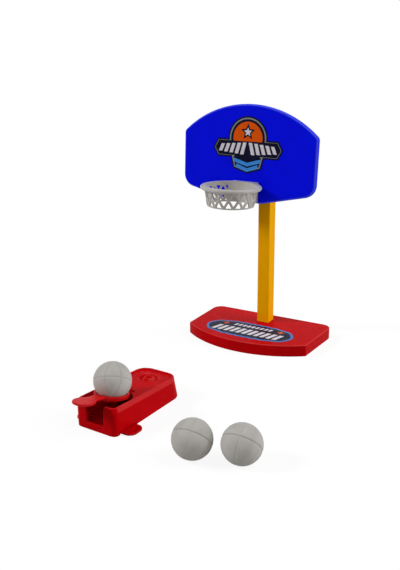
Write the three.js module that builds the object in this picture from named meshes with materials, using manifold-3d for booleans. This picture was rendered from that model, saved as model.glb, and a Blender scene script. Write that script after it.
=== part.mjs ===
// Tabletop basketball game: a stand with a backboard and a basket, a sprung launcher and three balls.
// Millimetres, +Z up. The table is z = 0 and the player sits on the -Y side.
// The origin is on the table, below the middle of the post's front face.
import * as THREE from "three";
import { mergeVertices } from "three/addons/utils/BufferGeometryUtils.js";
import Module from "manifold-3d";

const wasm = await Module();
wasm.setup();

// Clearances and cutter lengths
const SEAT_GAP = 0.3; // between still pieces
const RUN_GAP = 0.1; // between a pin and what turns on it
const LABEL_GAP = 0.05; // film of glue under a label
const OVERRUN = 2; // how far a cutter passes the faces that it cuts
const MERGE_DISTANCE = 1e-4;

// Facet counts
const ROUND_SIDES = 16;
const CORNER_STEPS = 4;
const ARC_STEPS = 16;

// Balls
const BALL_RADIUS = 12.5;
const BALL_WALL = 1.2;
const BALL_VENT_RADIUS = 0.7;
const BALL_SIDES = 24;
const BALL_HALF_STEPS = 6;
const BALL_INNER_STEPS = 4;
const SPARE_BALL_PLACES = {
  spare_ball_left: { x: 57.6, y: -206.4 },
  spare_ball_right: { x: 85.6, y: -196.9 },
};

// Screws, all self-tapping
const SCREW_HEAD_RADIUS = 2;
const SCREW_HEAD_HEIGHT = 1;
const SCREW_SHANK_RADIUS = 0.9;
const SCREW_POINT_LENGTH = 1;
const SCREW_LENGTH = 7;
const SCREW_HEAD_SINK = 0.2;
const SCREW_SIDES = 12;

// Base
const BASE_HEIGHT = 9.4;
const BASE_WALL = 2;
const BASE_FRONT_HALF_WIDTH = 54.2;
const BASE_BACK_HALF_WIDTH = 56.2;
const BASE_CORNER_Y = -31.6;
const BASE_BULGE = 18.6;
const BASE_BACK_Y = 20.2;
const BASE_BACK_ROUND = 8;
const BASE_RIB = 1.4;
const BASE_RIB_X = 22;
const BASE_RIB_Y = -22;
const COVER_THICKNESS = 2;
const BASE_BOSS_RADIUS = 3;
const BASE_BOSS_FRONT_INSET = { side: 9.2, end: 6.6 }; // from the front corner to the boss's middle
const BASE_BOSS_BACK_INSET = { side: 10.2, end: 11.2 }; // from the back corner to the boss's middle

// Post
const POST_HALF_WIDTH = 5.3;
const POST_DEPTH = 10.9;
const POST_WALL = 1.6;
const POST_PLUG = 9;
const POST_TOP_Z = 164;
const SOCKET_WALL = 1.6;

// Backboard, in a frame that stands on its lowest middle point and leans back with it
const BOARD_FOOT_Y = -31.7;
const BOARD_FOOT_DROP = 45.4; // below the post's top
const BOARD_FOOT_Z = POST_TOP_Z - BOARD_FOOT_DROP;
const BOARD_LEAN = THREE.MathUtils.degToRad(1.83);
const BOARD_ROLL = THREE.MathUtils.degToRad(1.1); // about the middle between its screws, its right side low
const BOARD_HALF_WIDTH = 57.2;
const BOARD_HEIGHT = 74.8;
const BOARD_ARC_RADIUS = 84.3;
const BOARD_THICKNESS = 4.5;
const BOARD_FLAT_HALF = 13;
const BOARD_SLANT_RISE = 10;
const BOARD_LOWER_ROUND = 10;
const BOARD_SHOULDER_ROUND = 4;
const BOARD_EDGE_BEVEL = 1.2;
const BOARD_BOSS_RADIUS = 3.4;
const BOARD_BOSS_LENGTH = 2.5;
const BOARD_PILOT_DEPTH = 5;

// Bracket that carries the backboard in front of the post
const BRACKET_WALL = 2;
const BRACKET_SLEEVE_REACH = 26; // down from the post's top
const BRACKET_ARM_REACH = 23;
const BRACKET_SCREW_DROP = 11.5;
const BRACKET_LOW_Z = POST_TOP_Z - BRACKET_SLEEVE_REACH;
const BRACKET_ARM_LOW_Z = POST_TOP_Z - BRACKET_ARM_REACH;
const BRACKET_SCREW_Z = POST_TOP_Z - BRACKET_SCREW_DROP;
const BRACKET_FLANGE_HALF_WIDTH = 17;
const BRACKET_FLANGE_HALF_HEIGHT = 11.5;
const BRACKET_SCREW_X = 12.5;
const BRACKET_SCREW_LENGTH = 6;
const BOARD_SCREW_HEIGHT = (BRACKET_SCREW_Z - BOARD_FOOT_Z) / Math.cos(BOARD_LEAN);

// Basket, in the backboard's frame
const RIM_RADIUS = 23.1;
const RIM_HEIGHT = 2.9;
const RIM_TOP = 16.6;
const RIM_REACH = 24.1; // from the backboard's face to the rim's centre
const RIM_EDGE = 0.8;
const NET_TOP_RADIUS = 20.3;
const NET_FOOT_RADIUS = 17.9;
const NET_DEPTH = 15.3;
const NET_WALL = 1.7;
const NET_FOOT_RING = 0.9;
const NET_RIB_WIDTH = 1.9;
const NET_BAYS = 15;
const NET_SIDES = 32;
const PLATE_HALF_WIDTH = 10.9;
const PLATE_THICKNESS = 2;
const PLATE_LOW = 1.3;
const HOOK_X = 6.6;
const HOOK_HALF_WIDTH = 1.4;
const HOOK_LOW = 6.5;
const HOOK_HIGH = 11.5;
const HOOK_BARB = 1;
const HOOK_BARB_LENGTH = 1.6;
const HOOP_DROOP = THREE.MathUtils.degToRad(1.3); // the hoop hangs a little low at its front
const HOOP_ROLL = THREE.MathUtils.degToRad(0.7); // and a little low at its right

// Launcher, in a frame whose origin is on the table under the middle of its front face
const LAUNCHER_X = -12.4;
const LAUNCHER_Y = -210.6;
const LAUNCHER_TURN = THREE.MathUtils.degToRad(-1.97);
const HOUSING_HALF_WIDTH = 16.4;
const HOUSING_WALL = 2;
const HOUSING_TOP_FRONT_Z = 19.2;
const HOUSING_TOP_BACK_Z = 15.5;
const HOUSING_SHOULDER_FRONT_Z = 15.9;
const HOUSING_SHOULDER_BACK_Z = 13.1;
const HOUSING_SHOULDER_INSET = 0.9;
const HOUSING_FOOT_BACK_Y = 75.5;
const HOUSING_SHOULDER_BACK_Y = 70.6;
const HOUSING_TOP_BACK_Y = 70.6;
const HOUSING_FOOT_BACK_ROUND = 12.4;
const HOUSING_SHOULDER_BACK_ROUND = 9.8;
const HOUSING_TOP_BACK_ROUND = 8.8;
const HOUSING_FRONT_ROUND = 3.6;
const RIM_BAND = 1.3;
const DECK_DROP = 1;
const DECK_THICKNESS = 1.5;
const WELL_RADIUS = 13.2;
const WELL_FRONT_Y = 2.2;
const WELL_FRONT_ROUND = 5;
const WELL_Y = 17.7;
const SLOT_X = -0.4;
const SLOT_HALF_WIDTH = 7.65;
const SLOT_FLARE = 1.1; // at its mouth's corners
const SLOT_FOOT_HALF_WIDTH = 7;
const SILL_Z = 4.6;
const DECK_SLOT_HALF_WIDTH = 7.2;
const DECK_SLOT_Y = 31.3;
const DECK_SLOT_LENGTH = 1.5;
const DIMPLE_Y = 56.6;
const DIMPLE_RADIUS = 6.8;
const DIMPLE_DEPTH = 1.3;
const DIMPLE_BACKING = 1.2;
const DIMPLE_BACKING_MARGIN = 1.2;
const BUMP_RADIUS = 4.2;
const BUMP_TOP_RADIUS = 3;
const BUMP_HOLE_RADIUS = 1.5;
const BUMP_HEIGHT = 2.1;
const HANGER_THICKNESS = 2.5;
const HANGER_HALF_LENGTH = 3.7;
const HANGER_DROP = 3.6;
const LAUNCHER_BOSS_RADIUS = 2.3;
const LAUNCHER_BOSS_INSET = 2.1;
const FRONT_BOSS_TOP_Z = 9;
const REAR_BOSS = { x: 9, y: 62 };
const LATCH_WINDOW = { x: 4.2, halfWidth: 2, low: 2.6, high: 3.7, depth: 1.1 };

// Launcher bottom plate
const PLATE_FLOOR = 2;
const EAR_LOW = 0.4;
const EAR_THICKNESS = 1.4;
const EAR_X = 0.6;
const EAR_REACH = 24.4;
const EAR_FRONT_Y = 5.5;
const EAR_BACK_Y = 19.7;
const EAR_ROUND = 5.5;

// Lever, in a frame at the middle of its cup's rim, whose Z is square to the cup's rim
const LEVER_Y = 17.4;
const LEVER_Z = 20.6;
const LEVER_TILT = THREE.MathUtils.degToRad(10);
const CUP_RADIUS = 11.5;
const CUP_MOUTH_RADIUS = 10.3;
const CUP_WALL = 1.4;
const CUP_SKIRT = 2.6;
const CUP_FLOOR_RADIUS = 8;
const CUP_STEPS = 6;
const TAB_RADIUS = 7.3;
const TAB_REACH = 26.6;
const TAB_THICKNESS = 1.5;
const NECK_HALF_WIDTH = 4;
const ARM_HALF_WIDTH = 4.5;
const ARM_TOP = 3.8; // below the cup's rim
const ARM_THICKNESS = 2.8;
const PIVOT_Y = 38; // in the launcher's frame
const PIVOT_Z = 10.5;
const PIN_RADIUS = 1;
const BARREL_RADIUS = 3.2;
const BARREL_HALF_LENGTH = 6.1;

// Spring under the lever's arm
const SPRING_Y = 27;
const SPRING_RADIUS = 2.6; // to the middle of the wire
const SPRING_WIRE_RADIUS = 0.35;
const SPRING_TURNS = 5;
const SPRING_STEPS_PER_TURN = 8;
const SPRING_WIRE_SIDES = 5;
const SPIGOT_HEIGHT = 2.2;

// Labels: plain film with a printed generic design
const LABEL_THICKNESS = 0.25;
const BOARD_LABEL = { halfWidth: 30, low: 22, high: 66, round: 6 };
const BASE_LABEL = { halfWidth: 40, front: -42, back: -8, round: 12 };

const COLOURS = {
  red: 0xc4121a,
  blue: 0x0a1fd0,
  yellow: 0xeab400,
  net: 0xc9c6c0,
  ball: 0xb4b0a8,
  steel: 0xa9abad,
  film: 0x1b2752,
};

// Solids and meshes

function solidOf(geometry) {
  const bare = geometry.index ? geometry.toNonIndexed() : geometry.clone();
  bare.deleteAttribute("normal");
  bare.deleteAttribute("uv");
  const merged = mergeVertices(bare, MERGE_DISTANCE);
  return new wasm.Manifold(
    new wasm.Mesh({
      numProp: 3,
      vertProperties: merged.attributes.position.array,
      triVerts: new Uint32Array(merged.index.array),
    }),
  );
}

function geometryOf(solid) {
  const made = solid.getMesh();
  const geometry = new THREE.BufferGeometry();
  geometry.setAttribute("position", new THREE.BufferAttribute(made.vertProperties, 3));
  geometry.setIndex(new THREE.BufferAttribute(made.triVerts, 1));
  geometry.computeVertexNormals();
  return geometry;
}

function joined(first, ...others) {
  return others.reduce((whole, part) => whole.add(part), first);
}

function cut(whole, ...cutters) {
  return cutters.reduce((rest, cutter) => rest.subtract(cutter), whole);
}

function plastic(colour, roughness) {
  return new THREE.MeshStandardMaterial({ color: colour, roughness, metalness: 0 });
}

function metal(colour) {
  return new THREE.MeshStandardMaterial({ color: colour, roughness: 0.35, metalness: 1 });
}

const FINISHES = {
  red: plastic(COLOURS.red, 0.4),
  blue: plastic(COLOURS.blue, 0.35),
  yellow: plastic(COLOURS.yellow, 0.4),
  net: plastic(COLOURS.net, 0.5),
  ball: plastic(COLOURS.ball, 0.7),
  film: plastic(COLOURS.film, 0.3),
  steel: metal(COLOURS.steel),
};

function piece(parent, name, geometry, finish) {
  const mesh = new THREE.Mesh(geometry, FINISHES[finish].clone());
  mesh.name = name;
  parent.add(mesh);
  return mesh;
}

function box(x0, x1, y0, y1, z0, z1) {
  const geometry = new THREE.BoxGeometry(x1 - x0, y1 - y0, z1 - z0);
  geometry.translate((x0 + x1) / 2, (y0 + y1) / 2, (z0 + z1) / 2);
  return solidOf(geometry);
}

function rodUp(radius, x, y, z0, z1, sides = ROUND_SIDES) {
  const geometry = new THREE.CylinderGeometry(radius, radius, z1 - z0, sides);
  geometry.rotateX(Math.PI / 2);
  geometry.translate(x, y, (z0 + z1) / 2);
  return solidOf(geometry);
}

function rodAcross(radius, x0, x1, y, z) {
  const geometry = new THREE.CylinderGeometry(radius, radius, x1 - x0, ROUND_SIDES);
  geometry.rotateZ(Math.PI / 2);
  geometry.translate((x0 + x1) / 2, y, z);
  return solidOf(geometry);
}

function rodBack(radius, x, y0, y1, z) {
  const geometry = new THREE.CylinderGeometry(radius, radius, y1 - y0, ROUND_SIDES);
  geometry.translate(x, (y0 + y1) / 2, z);
  return solidOf(geometry);
}

// A plan outline, drawn in X and Y, raised from z0 to z1.
function raised(shape, z0, z1) {
  const geometry = new THREE.ExtrudeGeometry(shape, {
    depth: z1 - z0,
    bevelEnabled: false,
    curveSegments: ARC_STEPS,
  });
  geometry.translate(0, 0, z0);
  return solidOf(geometry);
}

// A front outline, drawn in X and Z, given depth from y0 to y1. A bevel rounds both its faces' edges.
function deepened(shape, y0, y1, bevel = 0) {
  const geometry = new THREE.ExtrudeGeometry(shape, {
    depth: y1 - y0 - 2 * bevel,
    bevelEnabled: bevel > 0,
    bevelThickness: bevel,
    bevelSize: bevel,
    bevelOffset: -bevel,
    bevelSegments: 2,
    curveSegments: ARC_STEPS,
  });
  geometry.rotateX(Math.PI / 2);
  geometry.translate(0, y1 - bevel, 0);
  return solidOf(geometry);
}

// A closed polygon of corner points, each with its own rounding radius, as a Shape.
function roundedShape(corners) {
  const shape = new THREE.Shape();
  const points = corners.map((corner) => new THREE.Vector2(corner.x, corner.y));
  const count = points.length;
  corners.forEach((corner, index) => {
    const here = points[index];
    const before = points[(index + count - 1) % count].clone().sub(here).normalize();
    const after = points[(index + 1) % count].clone().sub(here).normalize();
    const halfAngle = Math.acos(THREE.MathUtils.clamp(before.dot(after), -1, 1)) / 2;
    const reach = corner.round / Math.tan(halfAngle);
    const start = here.clone().addScaledVector(before, reach);
    const end = here.clone().addScaledVector(after, reach);
    if (index === 0) {
      shape.moveTo(start.x, start.y);
    } else {
      shape.lineTo(start.x, start.y);
    }
    if (corner.round > 0) {
      arcPoints(start, end, here, corner.round).forEach((point) => shape.lineTo(point.x, point.y));
    }
  });
  shape.closePath();
  return shape;
}

// Points of the arc that rounds a corner, after its start and up to its end.
function arcPoints(start, end, corner, radius) {
  const middle = start.clone().add(end).multiplyScalar(0.5);
  const toMiddle = middle.clone().sub(corner);
  const halfChord = start.distanceTo(end) / 2;
  const depth = Math.sqrt(Math.max(radius * radius - halfChord * halfChord, 0));
  const centre = middle.clone().addScaledVector(toMiddle.normalize(), depth);
  const from = Math.atan2(start.y - centre.y, start.x - centre.x);
  const turn = Math.atan2(end.y - centre.y, end.x - centre.x) - from;
  const sweep = Math.atan2(Math.sin(turn), Math.cos(turn));
  return Array.from({ length: CORNER_STEPS }, (_, step) => {
    const angle = from + (sweep * (step + 1)) / CORNER_STEPS;
    return new THREE.Vector2(
      centre.x + radius * Math.cos(angle),
      centre.y + radius * Math.sin(angle),
    );
  });
}

// Rings of equally many points, lowest first and counter-clockwise from above, as one closed solid.
function lofted(rings) {
  const count = rings[0].length;
  const positions = rings.flat().flatMap((point) => [point.x, point.y, point.z]);
  const index = [];
  for (let level = 0; level + 1 < rings.length; level += 1) {
    for (let step = 0; step < count; step += 1) {
      const low = level * count + step;
      const lowNext = level * count + ((step + 1) % count);
      index.push(low, lowNext, low + count);
      index.push(lowNext, lowNext + count, low + count);
    }
  }
  const top = (rings.length - 1) * count;
  for (let step = 1; step + 1 < count; step += 1) {
    index.push(0, step + 1, step);
    index.push(top, top + step, top + step + 1);
  }
  const geometry = new THREE.BufferGeometry();
  geometry.setAttribute("position", new THREE.Float32BufferAttribute(positions, 3));
  geometry.setIndex(index);
  return solidOf(geometry);
}

// A profile of radius and height, turned about the Z axis.
function turned(profile, sides = ROUND_SIDES) {
  const points = profile.map(([radius, height]) => new THREE.Vector2(radius, height));
  const geometry = new THREE.LatheGeometry(points, sides);
  geometry.rotateX(Math.PI / 2);
  return geometry;
}

// Screws

function screwProfile(length) {
  return [
    [0, 0],
    [SCREW_HEAD_RADIUS, 0],
    [SCREW_HEAD_RADIUS, SCREW_HEAD_HEIGHT],
    [SCREW_SHANK_RADIUS, SCREW_HEAD_HEIGHT],
    [SCREW_SHANK_RADIUS, length - SCREW_POINT_LENGTH],
    [0, length],
  ];
}

function screw(parent, name, length, place) {
  const mesh = piece(parent, name, turned(screwProfile(length), SCREW_SIDES), "steel");
  mesh.position.copy(place);
  return mesh;
}

function pilotUp(x, y, z0, z1) {
  return rodUp(SCREW_SHANK_RADIUS + SEAT_GAP, x, y, z0, z1, SCREW_SIDES);
}

function headPocket(x, y) {
  const radius = SCREW_HEAD_RADIUS + SEAT_GAP;
  return rodUp(radius, x, y, -OVERRUN, SCREW_HEAD_SINK + SCREW_HEAD_HEIGHT + RUN_GAP, SCREW_SIDES);
}

// Balls

function ballGeometry() {
  const inner = BALL_RADIUS - BALL_WALL;
  const outerStart = Math.asin(BALL_VENT_RADIUS / BALL_RADIUS);
  const innerStart = Math.asin(BALL_VENT_RADIUS / inner);
  const lower = Array.from({ length: BALL_HALF_STEPS }, (_, step) =>
    THREE.MathUtils.lerp(outerStart, Math.PI / 2, step / BALL_HALF_STEPS),
  );
  const upper = Array.from({ length: BALL_HALF_STEPS }, (_, step) =>
    THREE.MathUtils.lerp(Math.PI / 2, Math.PI, step / BALL_HALF_STEPS),
  );
  const outer = [...lower, ...upper].map((angle) => [
    BALL_RADIUS * Math.sin(angle),
    -BALL_RADIUS * Math.cos(angle),
  ]);
  const hollow = Array.from({ length: BALL_INNER_STEPS }, (_, step) => {
    const angle = THREE.MathUtils.lerp(innerStart, Math.PI, 1 - (step + 1) / BALL_INNER_STEPS);
    return [inner * Math.sin(angle), -inner * Math.cos(angle)];
  });
  // The two surfaces meet at the vent, under the ball, so the profile starts and ends on the axis
  // at the top: once on the inside and once on the outside.
  const profile = [[0, inner], ...hollow, ...outer, [0, BALL_RADIUS]];
  return turned(profile, BALL_SIDES);
}

// Stand

function baseCorners(inset) {
  const side = (BASE_BACK_HALF_WIDTH - BASE_FRONT_HALF_WIDTH) / (BASE_BACK_Y - BASE_CORNER_Y);
  const halfAt = (y) => BASE_FRONT_HALF_WIDTH + side * (y - BASE_CORNER_Y) - inset;
  const half = BASE_FRONT_HALF_WIDTH;
  const radius = (half * half + BASE_BULGE * BASE_BULGE) / (2 * BASE_BULGE);
  const centreY = BASE_CORNER_Y - BASE_BULGE + radius;
  const bulgeRadius = radius - inset;
  const frontHalf = halfAt(BASE_CORNER_Y);
  const sweep = Math.asin(frontHalf / bulgeRadius);
  const front = Array.from({ length: ARC_STEPS + 1 }, (_, step) => {
    const angle = -sweep + (2 * sweep * step) / ARC_STEPS;
    return {
      x: bulgeRadius * Math.sin(angle),
      y: centreY - bulgeRadius * Math.cos(angle),
      round: 0,
    };
  });
  const backY = BASE_BACK_Y - inset;
  const round = BASE_BACK_ROUND - inset;
  return [
    ...front,
    { x: halfAt(backY), y: backY, round },
    { x: -halfAt(backY), y: backY, round },
  ];
}

function mirroredPlaces(...places) {
  return places.flatMap((place) => [
    { x: -place.x, y: place.y },
    { x: place.x, y: place.y },
  ]);
}

const BASE_SCREW_PLACES = mirroredPlaces(
  {
    x: BASE_FRONT_HALF_WIDTH - BASE_BOSS_FRONT_INSET.side,
    y: BASE_CORNER_Y + BASE_BOSS_FRONT_INSET.end,
  },
  {
    x: BASE_BACK_HALF_WIDTH - BASE_BOSS_BACK_INSET.side,
    y: BASE_BACK_Y - BASE_BOSS_BACK_INSET.end,
  },
);
const POST_MIDDLE_Y = POST_DEPTH / 2;

function baseShell() {
  const top = BASE_HEIGHT - BASE_WALL;
  const bossFoot = COVER_THICKNESS + SEAT_GAP;
  const outside = raised(roundedShape(baseCorners(0)), 0, BASE_HEIGHT);
  const inside = raised(roundedShape(baseCorners(BASE_WALL)), -OVERRUN, top);
  const reach = SEAT_GAP + SOCKET_WALL;
  const ribs = raised(roundedShape(baseCorners(BASE_WALL / 2)), bossFoot, BASE_HEIGHT - BASE_WALL / 2)
    .intersect(
      joined(
        box(-BASE_RIB_X - BASE_RIB, -BASE_RIB_X, -BASE_BACK_HALF_WIDTH, BASE_BACK_Y, 0, BASE_HEIGHT),
        box(BASE_RIB_X, BASE_RIB_X + BASE_RIB, -BASE_BACK_HALF_WIDTH, BASE_BACK_Y, 0, BASE_HEIGHT),
        box(
          -BASE_BACK_HALF_WIDTH,
          BASE_BACK_HALF_WIDTH,
          BASE_RIB_Y - BASE_RIB,
          BASE_RIB_Y,
          0,
          BASE_HEIGHT,
        ),
      ),
    );
  const socket = box(
    -POST_HALF_WIDTH - reach,
    POST_HALF_WIDTH + reach,
    -reach,
    POST_DEPTH + reach,
    bossFoot,
    BASE_HEIGHT - BASE_WALL / 2,
  );
  const bosses = BASE_SCREW_PLACES.map(({ x, y }) =>
    rodUp(BASE_BOSS_RADIUS, x, y, bossFoot, BASE_HEIGHT - BASE_WALL / 2),
  );
  const pilots = BASE_SCREW_PLACES.map(({ x, y }) => pilotUp(x, y, 0, SCREW_LENGTH + SEAT_GAP));
  const postHole = box(
    -POST_HALF_WIDTH - SEAT_GAP,
    POST_HALF_WIDTH + SEAT_GAP,
    -SEAT_GAP,
    POST_DEPTH + SEAT_GAP,
    -OVERRUN,
    BASE_HEIGHT + OVERRUN,
  );
  return cut(joined(cut(outside, inside), ribs, socket, ...bosses), ...pilots, postHole);
}

function baseCover() {
  const plate = raised(roundedShape(baseCorners(BASE_WALL + SEAT_GAP)), 0, COVER_THICKNESS);
  const places = [...BASE_SCREW_PLACES, { x: 0, y: POST_MIDDLE_Y }];
  const pockets = places.map(({ x, y }) => headPocket(x, y));
  const holes = places.map(({ x, y }) => pilotUp(x, y, -OVERRUN, COVER_THICKNESS + OVERRUN));
  return cut(plate, ...pockets, ...holes);
}

function post() {
  const foot = COVER_THICKNESS + SEAT_GAP;
  const inner = POST_HALF_WIDTH - POST_WALL;
  const outside = box(-POST_HALF_WIDTH, POST_HALF_WIDTH, 0, POST_DEPTH, foot, POST_TOP_Z);
  const hollow = box(
    -inner,
    inner,
    POST_WALL,
    POST_DEPTH - POST_WALL,
    foot + POST_PLUG,
    POST_TOP_Z + OVERRUN,
  );
  const pilot = pilotUp(0, POST_MIDDLE_Y, 0, SCREW_LENGTH + SEAT_GAP);
  const topPilot = rodBack(
    SCREW_SHANK_RADIUS + SEAT_GAP,
    0,
    POST_DEPTH - POST_WALL - OVERRUN,
    POST_DEPTH + OVERRUN,
    BRACKET_SCREW_Z,
  );
  return cut(outside, hollow, pilot, topPilot);
}

// The half space behind a plane that runs parallel to the backboard, this far behind its face.
function behindBoard(distance) {
  const far = BOARD_HALF_WIDTH + BOARD_HEIGHT;
  const slab = new THREE.BoxGeometry(2 * far, far, 2 * far);
  slab.translate(0, distance + far / 2, 0);
  slab.applyMatrix4(boardFrame.matrix);
  return solidOf(slab);
}

function bracket() {
  const sleeve = SEAT_GAP + BRACKET_WALL;
  const capZ = POST_TOP_Z + SEAT_GAP + BRACKET_WALL;
  const half = POST_HALF_WIDTH + sleeve;
  const flangeFace = BOARD_THICKNESS + BOARD_BOSS_LENGTH + SEAT_GAP;
  const outer = box(-half, half, -sleeve, POST_DEPTH + sleeve, BRACKET_LOW_Z, capZ);
  const bore = box(
    -POST_HALF_WIDTH - SEAT_GAP,
    POST_HALF_WIDTH + SEAT_GAP,
    -SEAT_GAP,
    POST_DEPTH + SEAT_GAP,
    BRACKET_LOW_Z - OVERRUN,
    POST_TOP_Z + SEAT_GAP,
  );
  const arm = box(-half, half, BOARD_FOOT_Y, -SEAT_GAP - BRACKET_WALL / 2, BRACKET_ARM_LOW_Z, capZ);
  const channel = box(
    -half + BRACKET_WALL,
    half - BRACKET_WALL,
    BOARD_FOOT_Y - OVERRUN,
    -sleeve,
    BRACKET_ARM_LOW_Z - OVERRUN,
    capZ - BRACKET_WALL,
  );
  const flange = box(
    -BRACKET_FLANGE_HALF_WIDTH,
    BRACKET_FLANGE_HALF_WIDTH,
    BOARD_FOOT_Y,
    0,
    BRACKET_SCREW_Z - BRACKET_FLANGE_HALF_HEIGHT,
    BRACKET_SCREW_Z + BRACKET_FLANGE_HALF_HEIGHT,
  ).subtract(behindBoard(flangeFace + BRACKET_WALL));
  const carrier = joined(cut(arm, channel), flange).intersect(behindBoard(flangeFace));
  const flangeHoles = [-BRACKET_SCREW_X, BRACKET_SCREW_X].map((x) => {
    const z = BRACKET_SCREW_Z - x * Math.sin(BOARD_ROLL);
    return rodBack(SCREW_SHANK_RADIUS + SEAT_GAP, x, BOARD_FOOT_Y, 0, z);
  });
  const rearHole = rodBack(
    SCREW_SHANK_RADIUS + SEAT_GAP,
    0,
    POST_DEPTH,
    POST_DEPTH + sleeve + OVERRUN,
    BRACKET_SCREW_Z,
  );
  return cut(joined(cut(outer, bore), carrier), ...flangeHoles, rearHole);
}

function boardShape() {
  const half = BOARD_HALF_WIDTH;
  const arcCentre = BOARD_HEIGHT - BOARD_ARC_RADIUS;
  const sweep = Math.asin(half / BOARD_ARC_RADIUS);
  const steps = ARC_STEPS;
  const arc = Array.from({ length: steps + 1 }, (_, step) => {
    const angle = sweep - (2 * sweep * step) / steps;
    return {
      x: BOARD_ARC_RADIUS * Math.sin(angle),
      y: arcCentre + BOARD_ARC_RADIUS * Math.cos(angle),
      round: step === 0 || step === steps ? BOARD_SHOULDER_ROUND : 0,
    };
  });
  return roundedShape([
    { x: -BOARD_FLAT_HALF, y: 0, round: BOARD_LOWER_ROUND },
    { x: BOARD_FLAT_HALF, y: 0, round: BOARD_LOWER_ROUND },
    { x: half, y: BOARD_SLANT_RISE, round: BOARD_LOWER_ROUND },
    ...arc,
    { x: -half, y: BOARD_SLANT_RISE, round: BOARD_LOWER_ROUND },
  ]);
}

function backboard() {
  const plate = deepened(boardShape(), 0, BOARD_THICKNESS, BOARD_EDGE_BEVEL);
  const back = BOARD_THICKNESS + BOARD_BOSS_LENGTH;
  const sides = [-BRACKET_SCREW_X, BRACKET_SCREW_X];
  const bosses = sides.map((x) =>
    rodBack(BOARD_BOSS_RADIUS, x, BOARD_THICKNESS - BOARD_EDGE_BEVEL, back, BOARD_SCREW_HEIGHT),
  );
  const pilots = sides.map((x) =>
    rodBack(
      SCREW_SHANK_RADIUS + SEAT_GAP,
      x,
      back - BOARD_PILOT_DEPTH,
      back + OVERRUN,
      BOARD_SCREW_HEIGHT,
    ),
  );
  const slots = [-HOOK_X, HOOK_X].map((x) => hookBlock(x, -OVERRUN, BOARD_THICKNESS + OVERRUN, SEAT_GAP));
  return cut(joined(plate, ...bosses), ...pilots, ...slots);
}

// Basket

function hookBlock(x, y0, y1, margin) {
  const outward = Math.sign(x) * (HOOK_BARB + SEAT_GAP);
  const roomy = margin > 0 ? outward : 0;
  return box(
    x - HOOK_HALF_WIDTH - margin + Math.min(roomy, 0),
    x + HOOK_HALF_WIDTH + margin + Math.max(roomy, 0),
    y0,
    y1,
    HOOK_LOW - margin,
    HOOK_HIGH + margin,
  );
}

function hook(x) {
  const side = Math.sign(x);
  const barbFront = BOARD_THICKNESS + SEAT_GAP;
  const tip = barbFront + HOOK_BARB_LENGTH;
  const stem = hookBlock(x, -SEAT_GAP - PLATE_THICKNESS / 2, tip, 0);
  const outerFace = x + side * HOOK_HALF_WIDTH;
  const barb = lofted(
    [HOOK_LOW, HOOK_HIGH].map((z) => {
      const points = [
        new THREE.Vector3(outerFace - side * HOOK_BARB, barbFront, z),
        new THREE.Vector3(outerFace + side * HOOK_BARB, barbFront, z),
        new THREE.Vector3(outerFace, tip, z),
        new THREE.Vector3(outerFace - side * HOOK_BARB, tip, z),
      ];
      return side > 0 ? points : points.reverse();
    }),
  );
  return joined(stem, barb);
}

function netRadius(height) {
  const share = THREE.MathUtils.clamp((RIM_TOP - height) / NET_DEPTH, 0, 1);
  return THREE.MathUtils.lerp(NET_TOP_RADIUS, NET_FOOT_RADIUS, share);
}

// The tapering space inside the net, with an even skin taken off its outside.
function netCone(skin, low, high) {
  return solidOf(
    turned(
      [
        [0, low],
        [netRadius(low) - skin, low],
        [netRadius(high) - skin, high],
        [0, high],
      ],
      NET_SIDES,
    ),
  );
}

function ring(outerRadius, innerRadius, low, high, edge) {
  const profile = [
    [innerRadius, low],
    [outerRadius - edge, low],
    [outerRadius, low + edge],
    [outerRadius, high - edge],
    [outerRadius - edge, high],
    [innerRadius, high],
    [innerRadius, low],
  ];
  return solidOf(turned(profile, NET_SIDES));
}

// One straight lattice rib, leaning by one bay from the rim down to the foot ring. The ribs meet in
// pairs, one pair at the middle of the side towards the backboard.
function netRib(bay, lean) {
  const step = (2 * Math.PI) / NET_BAYS;
  const high = RIM_TOP - RIM_HEIGHT / 2;
  const low = RIM_TOP - NET_DEPTH + NET_FOOT_RING / 2;
  const at = (height, angle) => {
    const radius = netRadius(height) - NET_WALL / 2;
    return new THREE.Vector3(radius * Math.cos(angle), radius * Math.sin(angle), height);
  };
  const top = at(high, Math.PI / 2 + bay * step);
  const foot = at(low, Math.PI / 2 + (bay + lean) * step);
  const along = top.clone().sub(foot);
  const middle = top.clone().add(foot).multiplyScalar(0.5);
  const outward = new THREE.Vector3(middle.x, middle.y, 0).normalize();
  const side = new THREE.Vector3().crossVectors(along, outward).normalize();
  const square = new THREE.Vector3().crossVectors(along.clone().normalize(), side);
  const geometry = new THREE.BoxGeometry(NET_RIB_WIDTH, NET_WALL, along.length());
  geometry.applyMatrix4(new THREE.Matrix4().makeBasis(side, square, along.normalize()));
  geometry.translate(middle.x, middle.y, middle.z);
  return solidOf(geometry);
}

// The hoop's set, turned a little about the middle of its edge at the backboard.
function hung(solid) {
  const edge = new THREE.Vector3(0, RIM_REACH - SEAT_GAP, RIM_TOP - RIM_HEIGHT / 2);
  const turn = new THREE.Matrix4().makeRotationFromEuler(new THREE.Euler(HOOP_DROOP, HOOP_ROLL, 0));
  const matrix = new THREE.Matrix4()
    .makeTranslation(edge)
    .multiply(turn)
    .multiply(new THREE.Matrix4().makeTranslation(edge.clone().negate()));
  return solid.transform(matrix.elements);
}

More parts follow.
